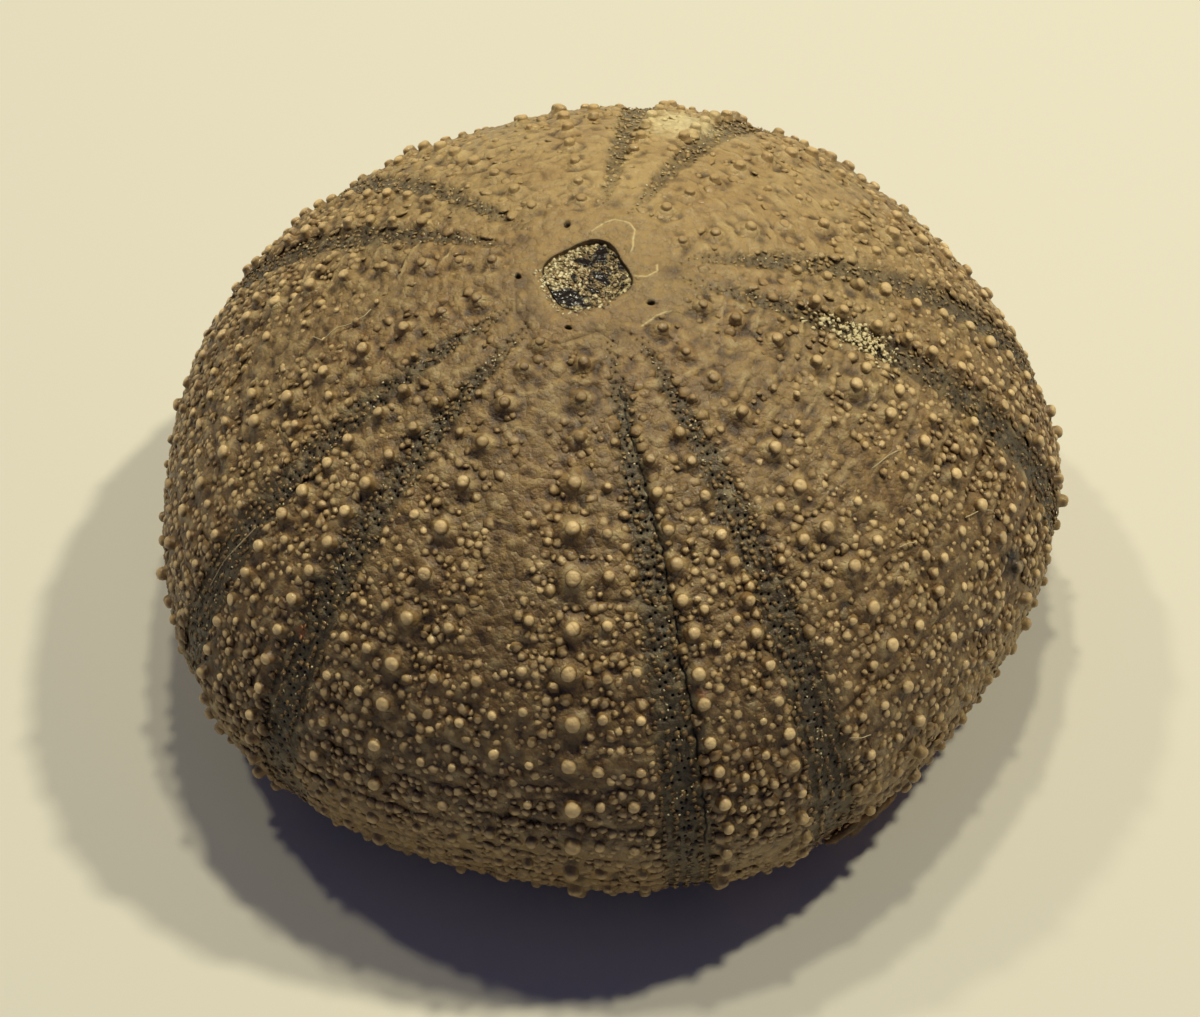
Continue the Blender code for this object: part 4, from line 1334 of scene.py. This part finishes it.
def make_edge_matrix(meridian, material):
    """Rusty rock on the skirt of the test: a lumpy pad with a broken edge."""
    turns = even_turns(96)
    centre = meridian.to_chart(PATCH_ARC, PATCH_AZIMUTH)
    scale = abs(centre) / meridian.radius_at(PATCH_ARC)
    outward = np.exp(1j * math.radians(PATCH_AZIMUTH))
    ragged = 1.0 + 0.06 * np.cos(3 * turns + 0.8) + 0.05 * np.cos(5 * turns + 2.1) + 0.03 * np.cos(11 * turns)
    unit = PATCH_HALF_WIDTH * np.cos(turns) + 1j * PATCH_HALF_LENGTH * np.sin(turns)

    def ring_at(share, lift):
        places = centre + scale * share * 0.84 * ragged * unit * outward
        plain = surface_points(meridian, places, lift)
        rise = 0.55 * noise_values(plain, 1.8 * MM, 3, 51.0) + 0.25 * noise_values(plain, 0.7 * MM, 2, 88.0)
        return surface_points(meridian, places, lift * (1.0 + rise) if lift > 0.0 else lift)

    lifts = [(0.5, -0.25 * MM), (0.95, -0.25 * MM), (1.0, 0.12 * MM), (0.96, 0.34 * MM), (0.91, 0.50 * MM)]
    lifts += [(share, (0.56 + 0.2 * (1.0 - share)) * MM) for share in np.linspace(0.86, 0.05, 26)]
    rings = [ring_at(share, lift) for share, lift in lifts]
    foot, peak = surface_points(meridian, np.array([centre, centre]), np.array([-0.25, 0.80]) * MM)
    points, faces = stacked_rings(rings, foot, peak)
    piece = add_piece("rusty_matrix", points, faces, material)
    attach(piece, "root")
    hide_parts("edge_matrix")


# ---------------------------------------------------------------- materials

# ---- Real sizes of what the finishes show ----
MOTTLE = 7.0 * MM  # broad changes of tone over the test
PLATE_CRYSTAL = 1.1 * MM  # patches of clearer and milkier calcite
BLOB = 0.85 * MM  # soft swellings between the granules
GRAIN = 0.28 * MM  # the fine tooth of weathered calcite
SAND_GRAIN = 0.45 * MM
QUARTZ_PITS = 0.12 * MM
CHALK_GRIT = 0.15 * MM
DUST_PATCH = 0.6 * MM
MUD_PATCH = 3.0 * MM
MUD_FLECK = 0.7 * MM
RUST_PATCH = 1.6 * MM
RUST_CRUMB = 0.3 * MM

MIX_SHARE, MIX_FIRST, MIX_SECOND = 0, 6, 7  # sockets of a colour mix
MIX_RESULT = 2


def linear(colour):
    """An sRGB hex colour as linear RGBA."""
    parts = [int(colour[place:place + 2], 16) / 255.0 for place in (1, 3, 5)]
    return (*(part / 12.92 if part <= 0.04045 else ((part + 0.055) / 1.055) ** 2.4 for part in parts), 1.0)


def new_material(name):
    material = bpy.data.materials.new(name)
    material.use_nodes = True
    tree = material.node_tree
    return material, tree, tree.nodes["Principled BSDF"]


def add_node(tree, kind, settings=(), inputs=()):
    """One node with its settings; each input gets a value, a hex colour or a link from the socket given."""
    node = tree.nodes.new(kind)
    for name, value in dict(settings).items():
        setattr(node, name, value)
    for key, value in dict(inputs).items():
        if isinstance(value, bpy.types.NodeSocket):
            tree.links.new(value, node.inputs[key])
        else:
            node.inputs[key].default_value = linear(value) if isinstance(value, str) else value
    return node


def marks_of(tree, name):
    """The three marks that a piece's points keep under this name."""
    marks = add_node(tree, "ShaderNodeAttribute", {"attribute_name": name}).outputs["Color"]
    return add_node(tree, "ShaderNodeSeparateColor", inputs={"Color": marks}).outputs


def tinted(tree, colour, tone, value, low=0.0, high=1.0, most=1.0):
    """A tone laid over a colour: none where the value is low, and the greatest share where it is high."""
    share = add_node(
        tree, "ShaderNodeMapRange", inputs={"Value": value, "From Min": low, "From Max": high, "To Max": most}
    ).outputs[0]
    return add_node(
        tree, "ShaderNodeMix", {"data_type": "RGBA"}, {MIX_SHARE: share, MIX_FIRST: colour, MIX_SECOND: tone}
    ).outputs[MIX_RESULT]


def finished(tree, shader, colour, gloss, smoothest, roughest, height, strength, depth, inverted=False):
    """A surface's colour, its roughness from one texture and its fine relief, also given, from another."""
    rough = add_node(
        tree, "ShaderNodeMapRange", inputs={"Value": gloss, "To Min": smoothest, "To Max": roughest}
    ).outputs[0]
    bump = add_node(
        tree, "ShaderNodeBump", {"invert": inverted},
        {"Height": height, "Strength": strength, "Distance": depth},
    )
    for socket, name in ((colour, "Base Color"), (rough, "Roughness"), (bump.outputs[0], "Normal")):
        tree.links.new(socket, shader.inputs[name])
    return bump


def calcite_body(tree, patina_and_painted_light):
    """The stone's own colour with its broad and fine changes of tone, paler or browner with the patina and
    painted light share, and the fine noise and where it is.
    """
    where = add_node(tree, "ShaderNodeTexCoord").outputs["Object"]
    broad = add_node(
        tree, "ShaderNodeTexNoise", inputs={"Vector": where, "Scale": 1.0 / MOTTLE, "Detail": 2.0}
    ).outputs[0]
    crystal = add_node(
        tree, "ShaderNodeTexNoise",
        inputs={"Vector": where, "Scale": 1.0 / PLATE_CRYSTAL, "Detail": 3.0, "Roughness": 0.6},
    ).outputs[0]
    # Dark dirt patches, strongest on the low front, which is painted browner as painted shade.
    dirt_with_painted_shade = add_node(
        tree, "ShaderNodeMath", {"operation": "MULTIPLY_ADD"}, {0: patina_and_painted_light, 1: 0.55, 2: 0.10}
    ).outputs[0]
    # Pale where the patina and painted light share is low, brown where it is high: partly the stone's
    # browning, partly a painted sheen at the back and painted shade on the low front.
    colour = tinted(tree, "#ab905d", "#5f441f", patina_and_painted_light)
    colour = tinted(tree, colour, "#7d5a2c", broad, 0.42, 0.68, 0.38)
    colour = tinted(tree, colour, "#a88b51", crystal, 0.50, 0.70, 0.40)
    colour = tinted(tree, colour, "#4a310d", crystal, 0.48, 0.30, dirt_with_painted_shade)
    return colour, crystal, where


def waxy_tooth(tree, shader, colour, where, crystal, depth):
    """Uneven gloss over two sizes of tooth, as on calcite that was once varnished; depth scales the tooth."""
    cells = add_node(
        tree, "ShaderNodeTexVoronoi", inputs={"Vector": where, "Scale": 1.0 / BLOB}
    ).outputs["Distance"]
    rounded = add_node(tree, "ShaderNodeMath", {"operation": "MULTIPLY"}, {0: cells, 1: cells}).outputs[0]
    tooth = add_node(
        tree, "ShaderNodeTexNoise",
        inputs={"Vector": where, "Scale": 1.0 / GRAIN, "Detail": 3.0, "Roughness": 0.65},
    ).outputs[0]
    swell = add_node(
        tree, "ShaderNodeBump", {"invert": True},
        {"Height": rounded, "Strength": 0.8, "Distance": depth * 0.30 * MM},
    ).outputs[0]
    uneven = add_node(
        tree, "ShaderNodeMapRange", inputs={"Value": crystal, "From Min": 0.35, "From Max": 0.65}
    ).outputs[0]
    bump = finished(tree, shader, colour, uneven, 0.48, 0.74, tooth, 0.9, depth * 0.18 * MM)
    tree.links.new(swell, bump.inputs["Normal"])
    tree.links.new(bump.outputs[0], shader.inputs["Coat Normal"])
    shader.inputs["Coat Weight"].default_value = 0.28
    shader.inputs["Coat Roughness"].default_value = 0.12


def fossil_calcite():
    """Weathered calcite: waxy olive-brown, paler along worn lips and raised relief as wear and painted
    highlight, dark in every hollow as dirt and painted shade.
    """
    material, tree, shader = new_material("fossil calcite, weathered")
    relief, places, stains = (marks_of(tree, name) for name in ("relief", "places", "stains"))
    colour, crystal, where = calcite_body(tree, places["Blue"])
    colour = tinted(tree, colour, "#38311d", places["Red"], most=0.80)
    # Paler on raised relief and lips, as wear and painted highlight; darker in hollows and seams, as dirt and
    # painted shade.
    for tone, low, high, most, line in (
        ("#d0bb86", 0.58, 0.98, 0.34, relief["Green"]), ("#321d05", 0.46, 0.12, 0.8, relief["Blue"])
    ):
        share = add_node(
            tree, "ShaderNodeMapRange",
            inputs={"Value": relief["Red"], "From Min": low, "From Max": high, "To Max": most},
        ).outputs[0]
        share = add_node(tree, "ShaderNodeMath", {"operation": "MAXIMUM"}, {0: share, 1: line}).outputs[0]
        colour = tinted(tree, colour, tone, share)
    colour = stained(tree, colour, stains, crystal)
    # Near black in pores, egg pores and the crack: painted shade in the holes.
    colour = tinted(tree, colour, "#15110c", places["Green"])
    waxy_tooth(tree, shader, colour, where, crystal, 1.0)
    return material


def stained(tree, colour, stains, breakup):
    """Rust, chalk and black crust laid over a colour where the stains are marked, broken up by the noise."""
    for mark, tone, low, most in (
        ("Red", "#8a4f26", 0.9, 0.6), ("Green", "#ddcd9c", 0.76, 0.64), ("Blue", "#17120c", 1.12, 0.96)
    ):
        worn = add_node(
            tree, "ShaderNodeMath", {"operation": "ADD"}, {0: stains[mark], 1: breakup}
        ).outputs[0]
        colour = tinted(tree, colour, tone, worn, low, low + 0.4, most)
    return colour


def knob_calcite(name, tip_tone, low_tip_tone, dull_share):
    """Solid calcite of a tubercle: the body's colour at the foot, rubbed pale and smooth on top; body and tip
    tones follow the patina and painted light share.
    """
    material, tree, shader = new_material(name)
    knob, stains = marks_of(tree, "knob"), marks_of(tree, "stains")
    body, crystal, where = calcite_body(tree, knob["Blue"])
    # Tips on the low front get the paler tone, painted light on tips that sit in shade.
    tip = tinted(tree, tip_tone, low_tip_tone, knob["Blue"])
    high = add_node(
        tree, "ShaderNodeMath", {"operation": "MULTIPLY_ADD"}, {0: crystal, 1: 0.5, 2: knob["Red"]}
    ).outputs[0]
    brightest = add_node(
        tree, "ShaderNodeMath", {"operation": "MULTIPLY_ADD"}, {0: knob["Green"], 1: -dull_share, 2: 1.0}
    ).outputs[0]
    colour = tinted(tree, body, tip, high, 0.55, 1.13, brightest)
    colour = stained(tree, colour, stains, crystal)
    waxy_tooth(tree, shader, colour, where, crystal, 0.45)
    return material


def hard_sand():
    """Cemented cream sand with glossy black crusts."""
    material, tree, shader = new_material("hard sand, cemented")
    where = add_node(tree, "ShaderNodeTexCoord").outputs["Object"]
    crust = marks_of(tree, "sand")["Red"]
    grains = add_node(
        tree, "ShaderNodeTexVoronoi", inputs={"Vector": where, "Scale": 1.0 / SAND_GRAIN}
    ).outputs
    tones = add_node(tree, "ShaderNodeSeparateColor", inputs={"Color": grains["Color"]}).outputs
    colour = tinted(tree, "#7d6a42", "#cdbf93", tones["Red"])
    colour = tinted(tree, colour, "#4a3b22", grains["Distance"], 0.35, 0.75)
    colour = tinted(tree, colour, "#1d1610", crust)
    finished(tree, shader, colour, crust, 0.85, 0.24, grains["Distance"], 0.6, 0.12 * MM, inverted=True)
    shader.inputs["Specular IOR Level"].default_value = 0.3
    return material


def loose_sand():
    """Quartz and shell grains, from near black through amber to cream, darker at the foot as painted shade.
    """
    material, tree, shader = new_material("sand grains, quartz and shell")
    grain = marks_of(tree, "grain")
    where = add_node(tree, "ShaderNodeTexCoord").outputs["Object"]
    fine = add_node(
        tree, "ShaderNodeTexNoise", inputs={"Vector": where, "Scale": 1.0 / QUARTZ_PITS, "Detail": 2.0}
    ).outputs[0]
    colour = tinted(tree, "#1d150c", "#86693a", grain["Red"], 0.10, 0.40)
    colour = tinted(tree, colour, "#d6c89e", grain["Red"], 0.40, 0.95)
    # Darker towards each grain's foot: painted shade.
    colour = tinted(tree, colour, "#3c2c17", grain["Green"], 0.35, 0.0, 0.7)
    finished(tree, shader, colour, fine, 0.20, 0.70, fine, 0.5, 0.04 * MM)
    return material


def chalk_dust():
    """Dry chalk in crumbs: matt white, a little yellowed."""
    material, tree, shader = new_material("chalk, dry crumbs")
    where = add_node(tree, "ShaderNodeTexCoord").outputs["Object"]
    fine = add_node(
        tree, "ShaderNodeTexNoise", inputs={"Vector": where, "Scale": 1.0 / CHALK_GRIT, "Detail": 2.0}
    ).outputs[0]
    colour = tinted(tree, "#a2905f", "#e6d8ac", fine)
    finished(tree, shader, colour, fine, 0.75, 0.95, fine, 0.6, 0.05 * MM)
    return material


def dust_fibre():
    """Cotton fibre grey with dust: soft and dull, paler in patches."""
    material, tree, shader = new_material("dust fibre, cotton")
    where = add_node(tree, "ShaderNodeTexCoord").outputs["Object"]
    patches = add_node(
        tree, "ShaderNodeTexNoise", inputs={"Vector": where, "Scale": 1.0 / DUST_PATCH, "Detail": 3.0}
    ).outputs[0]
    colour = tinted(tree, "#8b7a55", "#cbbb92", patches)
    finished(tree, shader, colour, patches, 0.6, 0.9, patches, 0.4, 0.03 * MM)
    return material


def limy_sediment():
    """Fine limy mud turned to stone, worn flat: dull and buff, with its small voids painted dark as painted
    shade.
    """
    material, tree, shader = new_material("limy sediment, worn")
    where = add_node(tree, "ShaderNodeTexCoord").outputs["Object"]
    voids = marks_of(tree, "sand")["Red"]
    broad = add_node(
        tree, "ShaderNodeTexNoise", inputs={"Vector": where, "Scale": 1.0 / MUD_PATCH, "Detail": 4.0}
    ).outputs[0]
    flecks = add_node(
        tree, "ShaderNodeTexVoronoi", inputs={"Vector": where, "Scale": 1.0 / MUD_FLECK}
    ).outputs
    tones = add_node(tree, "ShaderNodeSeparateColor", inputs={"Color": flecks["Color"]}).outputs
    colour = tinted(tree, "#6f5f45", "#b3a27f", broad)
    colour = tinted(tree, colour, "#cfc3a2", tones["Green"], 0.6, 1.0, 0.5)
    # The voids painted dark: painted shade in the pits.
    colour = tinted(tree, colour, "#30271b", voids)
    finished(tree, shader, colour, broad, 0.65, 0.92, flecks["Distance"], 0.5, 0.1 * MM)
    return material


def rusty_rock():
    """Iron-stained matrix: orange-brown, dull and crumbly."""
    material, tree, shader = new_material("iron-stained matrix")
    where = add_node(tree, "ShaderNodeTexCoord").outputs["Object"]
    broad, fine = (
        add_node(
            tree, "ShaderNodeTexNoise",
            inputs={"Vector": where, "Scale": 1.0 / size, "Detail": detail, "Roughness": roughness},
        ).outputs[0]
        for size, detail, roughness in ((RUST_PATCH, 5.0, 0.65), (RUST_CRUMB, 4.0, 0.7))
    )
    colour = tinted(tree, "#3f2c14", "#7a592b", broad, 0.35, 0.65)
    colour = tinted(tree, colour, "#9c7a41", fine, 0.55, 0.75, 0.6)
    finished(tree, shader, colour, fine, 0.60, 0.95, fine, 0.7, 0.15 * MM)
    return material


# ---------------------------------------------------------------- the stage


def make_floor():
    """A wide sheet of warm white card."""
    mesh = bpy.data.meshes.new("floor")
    corners = [(x * FLOOR_HALF, y * FLOOR_HALF, 0.0) for x, y in ((-1, -1), (1, -1), (1, 1), (-1, 1))]
    mesh.from_pydata(corners, [], [(0, 1, 2, 3)])
    floor = bpy.data.objects.new("floor", mesh)
    bpy.context.scene.collection.objects.link(floor)
    material, _, shader = new_material("warm white card")
    shader.inputs["Base Color"].default_value = linear("#d0cbbc")
    shader.inputs["Roughness"].default_value = 0.85
    mesh.materials.append(material)


def add_lamp(name, azimuth, elevation, distance, width, power):
    """A small round lamp that faces the middle of the test."""
    lamp = bpy.data.lights.new(name, "AREA")
    lamp.shape = "DISK"
    lamp.size = width
    lamp.energy = power
    lamp.color = linear("#fffade")[:3]
    holder = bpy.data.objects.new(name, lamp)
    turn, rise = math.radians(azimuth), math.radians(elevation)
    offset = Vector((math.cos(turn) * math.cos(rise), math.sin(turn) * math.cos(rise), math.sin(rise)))
    holder.location = LAMP_TARGET + offset * distance
    holder.rotation_euler = offset.to_track_quat("Z", "Y").to_euler()
    bpy.context.scene.collection.objects.link(holder)


def light_scene():
    """Four warm lamps, high on the right and behind, in a dim bluish room."""
    world = bpy.data.worlds.new("soft room")
    world.use_nodes = True
    background = world.node_tree.nodes["Background"]
    background.inputs["Color"].default_value = linear("#a0aaee")
    background.inputs["Strength"].default_value = 0.15
    bpy.context.scene.world = world
    bpy.context.scene.view_settings.view_transform = "Standard"
    for name, lamp in LAMPS.items():
        add_lamp(name, *lamp)


def place_camera():
    """A long lens above the front edge, turned a little about its own line of sight."""
    data = bpy.data.cameras.new("camera")
    data.lens = LENS_LENGTH
    data.sensor_width = FILM_WIDTH
    camera = bpy.data.objects.new("camera", data)
    matrix = Matrix((CAMERA_RIGHT, CAMERA_UP, CAMERA_RIGHT.cross(CAMERA_UP))).transposed().to_4x4()
    matrix.translation = CAMERA_PLACE
    camera.matrix_world = matrix
    bpy.context.scene.collection.objects.link(camera)
    bpy.context.scene.camera = camera


def make_urchin():
    """The whole fossil: its test and tubercles, the sediment in its openings, and the dust on it."""
    rng = np.random.default_rng(SEED)
    meridian = Meridian()
    main = column_sites(
        meridian, rng, column_arcs, PRIMARY_ANGLE, PRIMARY_RADIUS,
        shake=0.2, young=0.72, sizes=(0.90, 1.06), proud=0.14,
    )
    ray = column_sites(
        meridian, rng, ray_column_arcs, RAY_ANGLE, RAY_RADIUS,
        shake=0.35, young=0.76, sizes=(0.86, 1.08), proud=0.0,
    )
    lesser = thin_out(meridian, secondary_sites(meridian, rng), (main, ray), -0.35 * MM)
    granules = thin_out(meridian, granule_sites(meridian, rng), (main, ray, lesser), -0.22 * MM)
    pores = pore_rows(meridian, rng)
    zone_grains = zone_grain_sites(meridian, rng, pores, crack_sites(meridian))
    coarse, fine = (granules.picked(meridian, mask) for mask in (granules.size > 0.80, granules.size <= 0.80))
    make_skin(meridian, (main, ray, lesser), pores, fossil_calcite())
    knob = knob_calcite("tubercle calcite, rubbed", "#b3925a", "#e3c58e", 0.42)
    small_knob = knob_calcite("granule calcite, rubbed", "#a68954", "#d3b681", 0.55)
    zone_knob = knob_calcite("zone grains, dirty calcite", "#7d6d47", "#65583a", 0.8)
    for name, sites, outline, sides, ball, base_lift, lumpiness, material in (
        ("main_tubercles", main, KNOB, 14, MAIN_BALL, 0.92 * MAIN_BOSS, 0.04, knob),
        ("ray_tubercles", ray, KNOB, 12, RAY_BALL, 0.92 * RAY_BOSS, 0.05, knob),
        ("lesser_tubercles", lesser, LESSER_KNOB, 10, LESSER_BALL, 0.9 * LESSER_BOSS, 0.06, knob),
        ("granules", coarse, GRANULE, 6, GRANULE_RADIUS, 0.0, 0.15, small_knob),
        ("fine_granules", fine, FINE_GRANULE, 5, GRANULE_RADIUS, 0.0, 0.17, small_knob),
        ("zone_grains", zone_grains, ZONE_GRAIN, 5, ZONE_GRAIN_RADIUS, -0.25 * MM, 0.30, zone_knob),
    ):
        make_knobs(meridian, name, sites, outline, sides, ball, base_lift, lumpiness, material, rng)
    sand = loose_sand()
    make_crown_sediment(meridian, hard_sand(), sand)
    make_caught_grains(meridian, sand, chalk_dust(), rng)
    make_fibres(meridian, dust_fibre())
    make_mouth_sediment(limy_sediment())
    make_edge_matrix(meridian, rusty_rock())


def plain(box):
    return [list(corner) for corner in box]


make_floor()
light_scene()
place_camera()
make_urchin()
